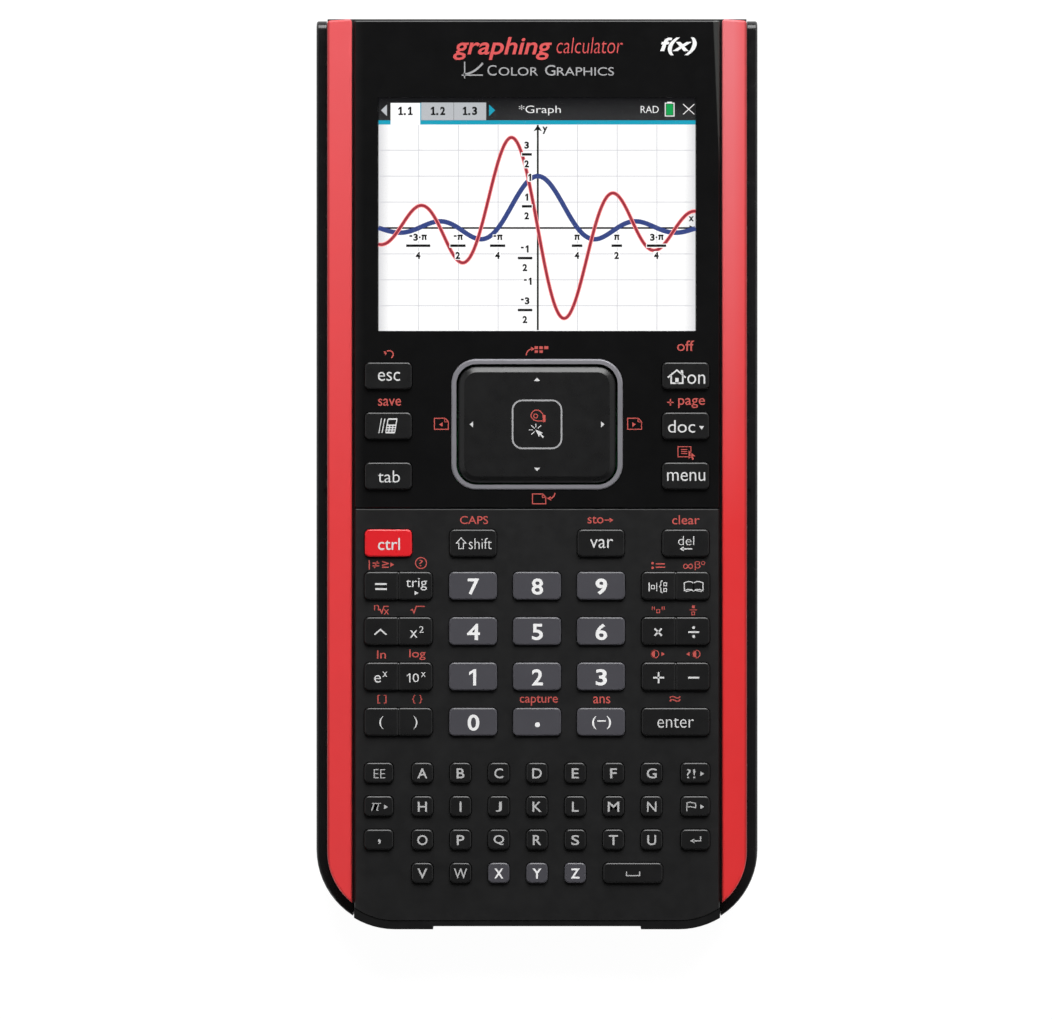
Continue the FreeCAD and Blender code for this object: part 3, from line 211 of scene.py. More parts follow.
KEY_BLACK = (0.0115, 0.0115, 0.0118)
KEY_GREY = (0.077, 0.0755, 0.087)
materials = {
    "case_black": plastic("case_black", (0.0098, 0.0098, 0.0102), (0.2, 0.28), 0.3, 0.08),
    "shell_black": plastic("shell_black", (0.005, 0.005, 0.0053), (0.32, 0.4), 0.35, 0.15),
    "face_gloss": plastic("face_gloss", (0.0054, 0.0054, 0.0056), (0.16, 0.2), 0.25, 0.02),
    "face_matte": plastic("face_matte", (0.0105, 0.0105, 0.0108), (0.34, 0.4), 0.22, 0.10),
    "rail_red": plastic("rail_red", (0.84, 0.038, 0.041), (0.34, 0.42), 0.2, 0.03, 0.02,
                        Specular_IOR_Level=0.3),
    "key_black": plastic("key_black", KEY_BLACK, (0.26, 0.32), 0.2, 0.05),
    "key_grey": plastic("key_grey", KEY_GREY, (0.28, 0.34), 0.2, 0.05, 0.04),
    "key_red": plastic("key_red", (0.84, 0.018, 0.026), (0.26, 0.32), 0.2, 0.04, 0.03),
    "ring_silver": plastic("ring_silver", (0.265, 0.26, 0.285), (0.35, 0.45), 0.2, 0.05, 0.05,
                           Metallic=0.2),
    "screen_picture": plastic("screen_picture", (0.02, 0.02, 0.022), (0.3, 0.4), 0.3, 0.05),
    "frame_metal": metal("frame_metal", (0.55, 0.55, 0.56)),
    "board_green": plastic("board_green", (0.01, 0.11, 0.035), (0.35, 0.5), 0.6, 0.3, 0.2),
    "chip_black": plastic("chip_black", (0.012, 0.012, 0.013), (0.55, 0.7), 0.2, 0.2),
    "membrane_rubber": plastic("membrane_rubber", (0.24, 0.24, 0.25), (0.6, 0.75), 0.4, 0.2, 0.08),
    "battery_wrap": plastic("battery_wrap", (0.03, 0.06, 0.16), (0.3, 0.42), 0.5, 0.06, 0.08),
    "screw_steel": metal("screw_steel", (0.52, 0.52, 0.54), (0.25, 0.38)),
    "foot_rubber": plastic("foot_rubber", (0.015, 0.015, 0.015), (0.75, 0.9), 0.3, 0.4),
    "socket_steel": metal("socket_steel", (0.6, 0.6, 0.61), (0.2, 0.32)),
    "contact_brass": metal("contact_brass", (0.72, 0.50, 0.20), (0.2, 0.35)),
}
# The window is coated against reflections, which its low index stands for.
glass = Shader("screen_glass", Roughness=0.03, IOR=1.15, Transmission_Weight=1.0)
glass.link(glass.blend(glass.ramp(glass.noise(20.0), 0.0, 1.0), (0.985, 0.985, 0.985), (1.0, 1.0, 1.0)),
           glass.bsdf.inputs["Base Color"])
glass.bump(glass.noise(6.0), 0.02, 0.01)
materials["screen_glass"] = glass

# Where each painted sheen, highlight and shade changes: from and to, in metres across X, or along Y for
# the first. The wedge's edge leans by its slope, in X for each Y.
PALE_ALONG = (-0.012, 0.088)
PALE_ACROSS = (-0.040, 0.040)
RIGHT_STRIP = (0.0409, 0.0434)
MIDDLE = (-0.001, 0.001)
STRIP_EDGE = (0.0431, 0.0437)
CASE_HIGHLIGHT_SPAN = (0.0456, 0.0459)
MATTE_SHEEN_SPAN = (0.0355, 0.0385)
GLOSS_SHEEN_SPAN = (-0.0382, -0.0362)
WEDGE_REFLECTION_SPAN = (0.04060, 0.04085)
WEDGE_SLOPE = 0.0417

# Painted sheen: the strips are paler towards the display end, and more so on the right.
strip = materials["rail_red"]
painted_sheen = strip.math("MULTIPLY", strip.ramp(strip.axis(1), 0.0, 1.0, *PALE_ALONG),
                   strip.ramp(strip.axis(0), 0.36, 1.0, *PALE_ACROSS))
# The painted sheen is less on the right one towards its outside, and the left one has a little everywhere.
painted_sheen = strip.math("MULTIPLY", painted_sheen, strip.ramp(strip.axis(0), 1.0, 0.5, *RIGHT_STRIP))
painted_sheen = strip.math("ADD", painted_sheen, strip.ramp(strip.axis(0), 0.1, 0.0, *MIDDLE))
strip.tint(painted_sheen, (0.87, 0.195, 0.215))
# Their outermost edge falls into shadow.
strip.tint(strip.ramp(strip.side(), 0.0, 1.0, *STRIP_EDGE), (0.28, 0.012, 0.013))
# The case has a painted highlight: a lighter line down its outer edges.
case = materials["case_black"]
case.tint(case.ramp(case.side(), 0.0, 1.0, *CASE_HIGHLIGHT_SPAN), (0.035, 0.035, 0.036))
# Painted sheen: the keypad's plate is a little lighter along both side edges, and the upper one along its
# left edge.
matte = materials["face_matte"]
matte.tint(matte.ramp(matte.side(), 0.0, 1.0, *MATTE_SHEEN_SPAN), (0.016, 0.016, 0.0163))
gloss = materials["face_gloss"]
gloss.tint(gloss.ramp(gloss.axis(0), 1.0, 0.0, *GLOSS_SHEEN_SPAN), (0.012, 0.012, 0.0122))
# Painted reflection: on the upper plate's right a lighter wedge narrows from the display end.
wedge = gloss.math("ADD", gloss.axis(0), gloss.math("MULTIPLY", gloss.axis(1), WEDGE_SLOPE))
gloss.tint(gloss.ramp(wedge, 0.0, 1.0, *WEDGE_REFLECTION_SPAN), (0.050, 0.052, 0.050))

for row in frame["record"]["subparts"]:
    finish = NODES[row["node"]].data.materials
    finish.clear()
    finish.append(materials[row["material_slot"]].material)

# The last letter row has grey keys in its middle.
GREY_HALF_WIDTH = 12.0
GREY_BLUR = 0.1
two_tone = plastic("key_black_and_grey", KEY_BLACK, (0.26, 0.32), 0.2, 0.05)
edge = GREY_HALF_WIDTH * MM
two_tone.tint(two_tone.ramp(two_tone.side(), 1.0, 0.0, edge, edge + GREY_BLUR * MM), KEY_GREY)
NODES["keys_letter_row_4"].data.materials[0] = two_tone.material

INK_BRIGHT = ink("ink_bright", (0.98, 0.98, 0.98))
INK_WHITE = ink("ink_white", (0.78, 0.78, 0.78))
INK_LETTER = ink("ink_letter", (0.54, 0.54, 0.54))
INK_GREY = ink("ink_grey", (0.42, 0.42, 0.43))
INK_RED = ink("ink_red", (0.62, 0.095, 0.08))
INK_TITLE = ink("ink_title", (0.76, 0.085, 0.085))


# --- Flat artwork ------------------------------------------------------------------------------

def arc(x, y, radius, start, end, steps=12, tall=1.0):
    """Points along an arc, its angles in degrees."""
    turns = [math.radians(start + (end - start) * step / steps) for step in range(steps + 1)]
    return [(x + radius * math.cos(turn), y + radius * tall * math.sin(turn)) for turn in turns]


def circle(x, y, radius, steps=20):
    return arc(x, y, radius, 0, 360, steps)[:-1]


def box(x0, y0, x1, y1):
    return [(x0, y0), (x1, y0), (x1, y1), (x0, y1)]


def rounded(x0, y0, x1, y1, radius, steps=6):
    """Loop of a box with round corners."""
    return (arc(x1 - radius, y1 - radius, radius, 0, 90, steps)
            + arc(x0 + radius, y1 - radius, radius, 90, 180, steps)
            + arc(x0 + radius, y0 + radius, radius, 180, 270, steps)
            + arc(x1 - radius, y0 + radius, radius, 270, 360, steps))


def beside(points, reach, closed):
    """The points moved sideways by `reach`, with mitred corners."""
    moved = []
    count = len(points)
    for index, (x, y) in enumerate(points):
        before = points[index - 1] if closed or index else None
        after = points[(index + 1) % count] if closed or index < count - 1 else None
        normals = []
        for (ax, ay), (bx, by) in ((before, (x, y)) if before else ((x, y), after),
                                   ((x, y), after) if after else (before, (x, y))):
            length = math.hypot(bx - ax, by - ay) or 1.0
            normals.append(((ay - by) / length, (bx - ax) / length))
        nx = normals[0][0] + normals[1][0]
        ny = normals[0][1] + normals[1][1]
        size = max(nx * nx + ny * ny, 0.5)
        moved.append((x + 2 * reach * nx / size, y + 2 * reach * ny / size))
    return moved


INK_HEIGHT = 0.02
INK_SUNK = 0.01


class Art:
    """Artwork of one finish on one body, gathered in millimetres as closed thin solids."""

    def __init__(self, name, body, finish, level, height=INK_HEIGHT, sunk=INK_SUNK):
        self.name = name
        self.body = body
        self.finish = finish
        self.top = level + height
        self.bottom = level - sunk
        self.mesh = bmesh.new()
        self.at(0.0, 0.0)

    def at(self, x, y):
        """What is drawn next is placed from here."""
        self.x = x
        self.y = y
        return self

    def solid(self, points, faces):
        made = [self.mesh.verts.new(((x + self.x) * MM, (y + self.y) * MM, z * MM)) for x, y, z in points]
        for face in faces:
            corners = [made[index] for index in face]
            if len(set(corners)) > 2:
                self.mesh.faces.new(corners)

    def shape(self, *loops):
        """A flat shape: its outline, then its holes."""
        flat = [point for loop in loops for point in loop]
        count = len(flat)
        faces = []
        for face in tessellate_polygon([[Vector((x, y, 0.0)) for x, y in loop] for loop in loops]):
            faces += [tuple(face), tuple(index + count for index in reversed(face))]
        start = 0
        for loop in loops:
            for index in range(len(loop)):
                here = start + index
                there = start + (index + 1) % len(loop)
                faces.append((here, there, there + count, here + count))
            start += len(loop)
        self.solid([(x, y, self.top) for x, y in flat] + [(x, y, self.bottom) for x, y in flat], faces)
        return self

    def line(self, points, width, closed=False):
        left = beside(points, width / 2, closed)
        right = beside(points, -width / 2, closed)
        return self.shape(left, right) if closed else self.shape(left + right[::-1])

    def text(self, words, x, y, width, height, bold=0.0, slant=0.0, steps=4):
        """Lettering that fills a box of that size round (x, y)."""
        curve = bpy.data.curves.new("lettering", "FONT")
        curve.body = words
        curve.extrude = 0.5
        curve.offset = bold
        curve.shear = slant
        curve.resolution_u = steps
        drawn = bpy.data.objects.new("lettering", curve)
        flat = bpy.data.meshes.new_from_object(drawn)
        points = [vertex.co.copy() for vertex in flat.vertices]
        low = [min(point[axis] for point in points) for axis in (0, 1)]
        high = [max(point[axis] for point in points) for axis in (0, 1)]
        wide = width / (high[0] - low[0])
        tall = height / (high[1] - low[1])
        self.solid([(x + (point.x - (low[0] + high[0]) / 2) * wide,
                     y + (point.y - (low[1] + high[1]) / 2) * tall,
                     self.top if point.z > 0 else self.bottom) for point in points],
                   [tuple(face.vertices) for face in flat.polygons])
        bpy.data.objects.remove(drawn)
        bpy.data.curves.remove(curve)
        bpy.data.meshes.remove(flat)
        return self

    def one(self, x, y, width, height, weight, foot=0.0):
        """The figure 1, with its flag, and a foot of that width."""
        low, high = y - height / 2, y + height / 2
        start, end = x - width / 2, x + width / 2
        thick = math.copysign(weight, height)
        stem = end - weight / 2
        flag = high - 0.2 * height
        if foot:
            self.shape(box(stem - foot / 2, low, stem + foot / 2, low + thick * 0.8))
        return self.shape([(end, low), (end, high), (end - weight * 0.85, high), (start, flag),
                           (start, flag - thick), (end - weight, high - thick * 1.1), (end - weight, low)])

    def done(self, slot=None):
        bmesh.ops.remove_doubles(self.mesh, verts=self.mesh.verts, dist=1e-7)
        bmesh.ops.recalc_face_normals(self.mesh, faces=self.mesh.faces)
        data = bpy.data.meshes.new(self.name)
        self.mesh.to_mesh(data)
        self.mesh.free()
        data.materials.append(self.finish)
        piece = bpy.data.objects.new(self.name, data)
        bpy.context.scene.collection.objects.link(piece)
        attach(piece, self.body)
        return piece


def place(node):
    """Middle and top of a node, in millimetres."""
    low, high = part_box(node)
    return ((low.x + high.x) / 2 / MM, (low.y + high.y) / 2 / MM, high.z / MM)


# --- Key caps and the touchpad's plate ---------------------------------------------------------

FLANGE = 0.5
FLANGE_THICKNESS = 0.7
CAP_CORNER = 1.0
# A cap's profile: how far in from its outline, and how far below its top.
CAP_PROFILE = ((0.0, 0.42), (0.0, 0.22), (0.01, 0.16), (0.035, 0.12), (0.07, 0.095), (0.20, 0.027),
               (0.24, 0.010), (0.28, 0.002), (0.34, 0.0))
SMALLEST_CORNER = 0.06


def loop_at(bounds, corners, inset, steps=5):
    """Points of a box with its own radius at each corner, `inset` inside its bounds."""
    x0, y0, x1, y1 = bounds
    points = []
    turns = ((x1, y1, -1, -1), (x0, y1, 1, -1), (x0, y0, 1, 1), (x1, y0, -1, 1))
    for index, (x, y, sx, sy) in enumerate(turns):
        radius = max(corners[index] - inset, SMALLEST_CORNER)
        cx = x + sx * (inset + radius)
        cy = y + sy * (inset + radius)
        points += arc(cx, cy, radius, 90 * index, 90 * index + 90, steps)
    return points


class Cap(Art):
    """A raised piece whose outline follows one profile, gathered like the artwork."""

    def rise(self, bounds, corners, rings, smooth_from=3):
        """A solid through one box-shaped loop for each ring of (inset, level)."""
        self.stack([(loop_at(bounds, corners, inset), level) for inset, level in rings], smooth_from)

    def stack(self, loops, smooth_from):
        """A solid through these loops, each at its own level."""
        made = [[self.mesh.verts.new((x * MM, y * MM, level * MM)) for x, y in loop]
                for loop, level in loops]
        count = len(made[0])
        self.mesh.faces.new(made[0][::-1])
        self.mesh.faces.new(made[-1])
        for index, (lower, upper) in enumerate(zip(made, made[1:])):
            for here in range(count):
                there = (here + 1) % count
                face = self.mesh.faces.new((lower[here], lower[there], upper[there], upper[here]))
                face.smooth = index >= smooth_from


def key_rings(low, top):
    """A flange at the foot, then the cap."""
    foot = low + FLANGE_THICKNESS
    return ([(-FLANGE, low), (-FLANGE, foot), (0.0, foot)]
            + [(inset, top - drop) for inset, drop in CAP_PROFILE])


def cap_piece(node, spans, finish, slot):
    """Detailed caps over these spans of X for one key node."""
    low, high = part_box(node)
    y0, y1 = low.y / MM + FLANGE, high.y / MM - FLANGE
    piece = Cap(node + ".cap", node, finish, 0.0)
    for index, (x0, x1, corners) in enumerate(spans):
        # The third span of a double key is the floor of its groove.
        drop, inset = (GROOVE_DROP, GROOVE_INSET) if index == 2 and len(spans) == 3 else (0.0, 0.0)
        piece.rise((x0, y0 + inset, x1, y1 - inset), corners, key_rings(low.z / MM, high.z / MM - drop))
    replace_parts(piece.done(slot), node)


ROUND = (CAP_CORNER,) * 4
GROOVE = 0.2
GROOVE_DROP = 0.22
GROOVE_INSET = 0.1
GROOVE_CORNER = 0.25
ROCKERS = ("key_equals_trig", "key_power_square", "key_exponentials", "key_brackets",
           "key_template_catalog", "key_multiply_divide", "key_add_subtract")
SLOTS = {row["node"]: row["material_slot"] for row in frame["record"]["subparts"]}
LETTER_PITCH = 7.97
LETTER_HALF = 2.22
WIDE_KEY = 33.0
WIDE_HALF = 3.025
SPACE_BAR = 20.0
SPACE_HALF = 6.2
for node in sorted(NODES):
    if not node.startswith("key_") or node == "key_membrane":
        continue
    low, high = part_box(node)
    x0, x1 = low.x / MM + FLANGE, high.x / MM - FLANGE
    spans = [(x0, x1, ROUND)]
    if node in ROCKERS:
        middle = (x0 + x1) / 2
        spans = [(x0, middle - GROOVE / 2, (GROOVE_CORNER, CAP_CORNER, CAP_CORNER, GROOVE_CORNER)),
                 (middle + GROOVE / 2, x1, (CAP_CORNER, GROOVE_CORNER, GROOVE_CORNER, CAP_CORNER)),
                 (middle - 2 * GROOVE, middle + 2 * GROOVE, (GROOVE_CORNER,) * 4)]
    cap_piece(node, spans, materials[SLOTS[node]].material, SLOTS[node])
for number in range(1, 5):
    node = f"keys_letter_row_{number}"
    letters = [(index * LETTER_PITCH, LETTER_HALF) for index in range(-3, 4 if number < 4 else 2)]
    ends = [(-WIDE_KEY, WIDE_HALF), (WIDE_KEY, WIDE_HALF)] if number < 4 else [(SPACE_BAR, SPACE_HALF)]
    finish = two_tone if number == 4 else materials["key_black"]
    spans = [(x - half, x + half, ROUND) for x, half in letters + ends]
    cap_piece(node, spans, finish.material, "key_black")

PAD_X, PAD_Y, PAD_LEVEL = place("touchpad_plate")
PAD_CORNER = 3.79
PAD_THICKNESS = 1.3
# The plate's profile: inset from its outline, and drop below its top.
PAD_PROFILE = ((0.0, PAD_THICKNESS), (0.0, 0.75), (0.02, 0.62), (0.1, 0.55), (0.22, 0.50), (1.12, 0.06),
               (1.2, 0.025), (1.28, 0.004), (1.4, 0.0))
low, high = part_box("touchpad_plate")
pad = Cap("touchpad_top", "touchpad", materials[SLOTS["touchpad_plate"]].material, 0.0)
pad.rise((low.x / MM, low.y / MM, high.x / MM, high.y / MM), (PAD_CORNER,) * 4,
         [(inset, PAD_LEVEL - drop) for inset, drop in PAD_PROFILE], 1)
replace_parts(pad.done(SLOTS["touchpad_plate"]), "touchpad_plate")

# The strips: rounded edges, and a display end that slants a little towards the outside. The outer
# corner's arc stops TIP_REACH degrees short of the tip, which keeps the inset loops from crossing.
STRIP_SLANT = 0.25
STRIP_INNER_CORNER = 0.6
STRIP_OUTER_CORNER = 0.75
STRIP_PROFILE = ((0.0, 0.5), (0.015, 0.36), (0.06, 0.23), (0.14, 0.12), (0.25, 0.045), (0.38, 0.008),
                 (0.5, 0.0))
OUTER_CORNER = 14.1
TIP_REACH = 8.0
for side, name in ((-1, "left"), (1, "right")):
    node = f"side_rail_{name}"
    low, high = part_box(node)
    inner = min(abs(low.x), abs(high.x)) / MM
    outer = max(abs(low.x), abs(high.x)) / MM
    end = high.y / MM
    centre_x = outer - OUTER_CORNER
    bend = math.degrees(math.acos((inner - centre_x) / OUTER_CORNER))
    centre_y = low.y / MM + OUTER_CORNER * math.sin(math.radians(bend))
    outer_y = end - STRIP_SLANT - STRIP_OUTER_CORNER
    loop = (arc(inner + STRIP_INNER_CORNER, end - STRIP_INNER_CORNER, STRIP_INNER_CORNER, 180, 90, 6)
            + arc(outer - STRIP_OUTER_CORNER, outer_y, STRIP_OUTER_CORNER, 90, 0, 8)
            + arc(centre_x, centre_y, OUTER_CORNER, 0, TIP_REACH - bend, 18) + [(inner, low.y / MM)])
    loop = [(side * x, y) for x, y in (loop if side < 0 else loop[::-1])]
    piece = Cap(f"strip_{name}", "calculator", strip.material, 0.0)
    piece.stack([(loop, low.z / MM)] + [(beside(loop, inset, True), high.z / MM - drop)
                                        for inset, drop in STRIP_PROFILE], 1)
    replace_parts(piece.done("rail_red"), node)


# --- Legends on the keys -----------------------------------------------------------------------

def triangle(x, y, width, height, turn=0):
    """A triangle that points right, turned by steps of 90 degrees."""
    loop = [(-width / 2, -height / 2), (width / 2, 0.0), (-width / 2, height / 2)]
    for _ in range(turn % 4):
        loop = [(-b, a) for a, b in loop]
    return [(x + a, y + b) for a, b in loop]


def legend(node, finish=INK_WHITE):
    x, y, level = place(node)
    return Art(node + ".legend", node, finish, level).at(x, y)


WORDS = {
    "key_esc": ("esc", 0.13, -0.12, 4.59, 1.88),
    "key_tab": ("tab", 0.13, -0.12, 4.59, 2.50),
    "key_menu": ("menu", 0.08, -0.12, 7.93, 1.88),
    "key_ctrl": ("ctrl", 0.13, -0.20, 4.59, 2.50),
    "key_var": ("var", 0.12, -0.10, 4.80, 1.88),
    "key_negate": ("(−)", 0.12, -0.17, 3.96, 2.71),
    "key_enter": ("enter", 0.0, -0.20, 7.60, 2.05),
}
DIGIT_WIDTHS = (2.45, 1.46, 2.3, 2.3, 2.71, 2.3, 2.4, 2.4, 2.4, 2.4)
BOLD = 0.012
HEAVY = 0.02
HEAVIEST = 0.03
THIN = -0.012
SLIM = -0.004
WORD_WEIGHTS = {"key_ctrl": 0.004, "key_negate": 0.004, "key_enter": -0.01}
DIGIT_WEIGHTS = {4: 0.016, 9: HEAVIEST}
for node, (words, dx, dy, width, height) in WORDS.items():
    finish = INK_BRIGHT if node == "key_negate" else INK_WHITE
    legend(node, finish).text(words, dx, dy, width, height, WORD_WEIGHTS.get(node, SLIM)).done()
for digit, width in enumerate(DIGIT_WIDTHS):
    art = legend(f"key_digit_{digit}", INK_BRIGHT)
    if digit == 1:
        art.one(-0.1, -0.17, width, 3.4, 0.62)
    else:
        art.text(str(digit), 0.08, -0.17, width, 3.4, DIGIT_WEIGHTS.get(digit, HEAVY), steps=6)
    art.done()
legend("key_decimal_point", INK_BRIGHT).shape(rounded(-0.42, -1.1, 0.6, -0.1, 0.45)).done()

art = legend("key_scratchpad")
SKEW = 0.171


def skewed(loop):
    return [(x + SKEW * y, y) for x, y in loop]


art.line([(-1.42, 1.59), (-1.96, -1.53)], 0.17)
art.line([(-0.72, 1.53), (-1.31, -1.46)], 0.2)
dots = [skewed(box(x - 0.21, y - 0.13, x + 0.21, y + 0.13))
        for x in (-0.02, 0.63, 1.28) for y in (-0.12, -0.60, -1.08)]
art.shape(skewed(rounded(-0.40, -1.57, 1.68, 1.59, 0.3)), skewed(box(-0.17, 0.28, 1.45, 1.26)), *dots)
art.done()

art = legend("key_home_on")
art.line([(-3.75, -0.36), (-1.85, 1.20), (0.0, -0.40)], 0.33)
art.line([(-3.05, 0.1), (-3.05, -1.53), (-0.62, -1.53), (-0.62, 0.1)], 0.33)
art.shape(box(-2.2, -1.6, -1.48, -0.44))
art.shape(box(-1.05, 0.3, -0.55, 1.2))
art.text("on", 2.175, -0.70, 3.75, 1.98, -0.003)
art.done()

art = legend("key_doc")
art.text("doc", -0.87, -0.105, 5.66, 2.60, -0.003)
art.shape(triangle(3.3, -0.41, 0.75, 1.05, 3))
art.done()

art = legend("key_shift")
art.line([(-2.98, -1.15), (-2.98, 0.0), (-3.5, 0.0), (-2.5, 1.1), (-1.5, 0.0), (-2.02, 0.0),
          (-2.02, -1.15)], 0.17, closed=True)
art.text("shift", 1.5, -0.1, 4.8, 2.3, THIN)
art.done()

art = legend("key_del")
art.text("del", 0.08, 0.52, 3.34, 1.9, THIN)
art.line([(1.35, -1.2), (-0.7, -1.2)], 0.25)
art.shape(triangle(-0.85, -1.2, 0.9, 0.95, 2))
art.done()

# Double keys: each half has its own legend, this far from the middle.
HALF = 3.55
left, right = -HALF, HALF

art = legend("key_equals_trig")
for dy in (0.35, -0.69):
    art.shape(box(left - 1.3, dy - 0.18, left + 1.14, dy + 0.2))
art.text("trig", right + 0.21, 0.33, 4.38, 2.55, SLIM)
art.shape(triangle(right + 0.25, -1.5, 0.85, 0.85))
art.done()

art = legend("key_power_square")
art.line([(left - 1.45, -0.75), (left - 0.2, 0.35), (left + 1.05, -0.75)], 0.3)
art.text("x", right - 0.35, -0.6, 1.55, 1.55, SLIM)
art.text("2", right + 1.25, 0.35, 0.95, 1.35, SLIM)
art.done()

art = legend("key_exponentials")
art.text("e", left - 0.8, -0.5, 1.42, 1.55, SLIM)
art.text("x", left + 0.74, 0.44, 1.0, 1.05, SLIM)
art.one(right - 1.42, -0.27, 0.75, 1.82, 0.26)
art.text("0", right + 0.08, -0.27, 1.3, 1.82, SLIM)
art.text("x", right + 1.65, 0.4, 0.95, 1.0, SLIM)
art.done()

art = legend("key_brackets")
art.text("(", left, -0.15, 0.83, 2.71, THIN)
art.text(")", right, -0.15, 0.83, 2.71, THIN)
art.done()

art = legend("key_template_catalog")
for dx, wide in ((-1.97, 0.24), (-0.40, 0.17)):
    art.shape(box(left + dx - wide / 2, -1.13, left + dx + wide / 2, 0.64))
art.line(box(left - 1.51, -0.62, left - 0.86, 0.09), 0.16, closed=True)
art.text("{", left + 0.45, -0.2, 0.8, 2.6, -0.01)
for dy in (0.33, -0.87):
    art.line(box(left + 1.07, dy - 0.3, left + 1.67, dy + 0.3), 0.17, closed=True)
art.line([(right + 0.2, -1.15), (right + 0.2, 0.5)], 0.18)
for side in (-1, 1):
    crest = [(right + 0.2 + side * u, v) for u, v in
             ((0.0, 0.55), (0.55, 0.85), (1.2, 0.88), (1.95, 0.62), (1.95, -1.0), (1.2, -0.75),
              (0.55, -0.8), (0.0, -1.1))]
    art.line(crest, 0.18, closed=True)
    art.line([(right + 0.2 + side * 0.45, -0.98), (right + 0.2 + side * 1.75, -1.2)], 0.13)
art.done()

art = legend("key_multiply_divide")
art.line([(left - 0.85, -0.95), (left + 0.65, 0.55)], 0.35)
art.line([(left - 0.85, 0.55), (left + 0.65, -0.95)], 0.35)
art.shape(box(right - 0.95, -0.38, right + 1.35, -0.02))
art.shape(circle(right + 0.2, 0.72, 0.3))
art.shape(circle(right + 0.2, -1.12, 0.3))
art.done()

art = legend("key_add_subtract")
art.shape(box(left - 1.16, -0.42, left + 1.14, -0.06))
art.shape(box(left - 0.19, -1.39, left + 0.17, 0.91))
art.shape(box(right - 0.95, -0.42, right + 1.35, -0.06))
art.done()

LETTER_HEIGHT = 2.09
ROWS = ("ABCDEFG", "HIJKLMN", "OPQRSTU", "VWXYZ")
LETTER_WIDTHS = {
    "A": 2.09, "B": 1.67, "C": 1.88, "D": 2.0, "E": 1.46, "F": 1.4, "G": 2.09, "H": 1.9, "I": 0.4,
    "J": 1.25, "K": 1.88, "L": 1.4, "M": 2.4, "N": 1.95, "O": 2.15, "P": 1.6, "Q": 2.2, "R": 1.75,
    "S": 1.67, "T": 1.88, "U": 1.85, "V": 2.05, "W": 2.75, "X": 1.9, "Y": 1.9, "Z": 1.85,
}
LETTER_WEIGHTS = {"M": 0.005, "N": 0.005, "W": 0.005, "X": HEAVY, "Y": HEAVY, "Z": HEAVY}
LAST_ROW = "keys_letter_row_4"
bright = Art(LAST_ROW + ".bright", LAST_ROW, INK_BRIGHT, place(LAST_ROW)[2])
for number, letters in enumerate(ROWS, start=1):
    node = f"keys_letter_row_{number}"
    y, level = place(node)[1:]
    art = Art(node + ".legend", node, INK_LETTER, level)
    for index, letter in enumerate(letters):
        drawn = bright if letter in "XYZ" else art
        drawn.at((index - 3) * LETTER_PITCH, y)
        weight = LETTER_WEIGHTS.get(letter, BOLD)
        drawn.text(letter, 0.0, -0.1, LETTER_WIDTHS[letter], LETTER_HEIGHT, weight)
    if number == 1:
        art.at(-WIDE_KEY, y).text("EE", 0.15, -0.18, 2.4, 1.88, THIN)
        art.at(WIDE_KEY, y).text("?!", -0.89, -0.18, 1.8, 1.88)
        art.shape(triangle(1.45, -0.18, 0.8, 0.95))
    elif number == 2:
        art.at(-WIDE_KEY, y).text("π", -0.55, -0.15, 2.1, 1.6, THIN, 0.3)
        art.shape(triangle(1.5, -0.15, 0.8, 0.95))
        art.at(WIDE_KEY, y).line([(-1.78, -1.0), (-1.78, 0.85)], 0.2)
        art.line([(-1.68, 0.75), (-1.05, 0.85), (0.06, 0.6), (0.06, -0.3), (-1.05, -0.1), (-1.68, -0.2)],
                 0.2, closed=True)
        art.shape(triangle(1.45, -0.1, 0.8, 0.95))
    elif number == 3:
        art.at(-WIDE_KEY, y).text(",", 0.15, -0.44, 0.63, 1.04, BOLD)
        art.at(WIDE_KEY, y).line([(1.1, 0.7), (1.1, -0.25), (-0.5, -0.25)], 0.25)
        art.shape(triangle(-0.65, -0.25, 0.9, 0.95, 2))
    else:
        art.at(SPACE_BAR, y).line([(-1.35, 0.3), (-1.35, -0.55), (1.4, -0.55), (1.4, 0.3)], 0.22)
    art.done()
bright.done()


# --- Printing on the two faceplates --------------------------------------------------------------

UPPER_LEVEL = place("upper_faceplate")[2]
KEYPAD_LEVEL = place("keypad_faceplate")[2]

title = Art("title_print", "calculator", INK_TITLE, UPPER_LEVEL)
title.text("graphing", -7.2, 88.76, 20.6, 4.8, 0.014, 0.22, 6)
title.text("calculator", 11.0, 89.4, 13.8, 3.3, THIN, 0.16, 6)
title.done()

art = Art("header_print", "calculator", INK_GREY, UPPER_LEVEL)
art.line([(-15.7, 83.2), (-11.3, 83.2)], 0.25)
art.line([(-15.1, 82.5), (-15.1, 86.0)], 0.25)
art.line([(-15.3 + step * 0.4, 83.4 + 2.3 * (step / 10) ** 2) for step in range(11)], 0.4)
for words, x, width, height in (("C", -9.4, 1.9, 2.2), ("OLOR", -3.9, 8.2, 1.75), ("G", 2.75, 2.15, 2.2),
                                ("RAPHICS", 10.1, 11.9, 1.75)):
    art.text(words, x, 83.1 + height / 2, width, height)
art.done()
art = Art("function_print", "calculator", INK_BRIGHT, UPPER_LEVEL)
art.text("f(x)", 29.5, 89.2, 7.6, 3.7, 0.03, 0.25, 6)
art.done()

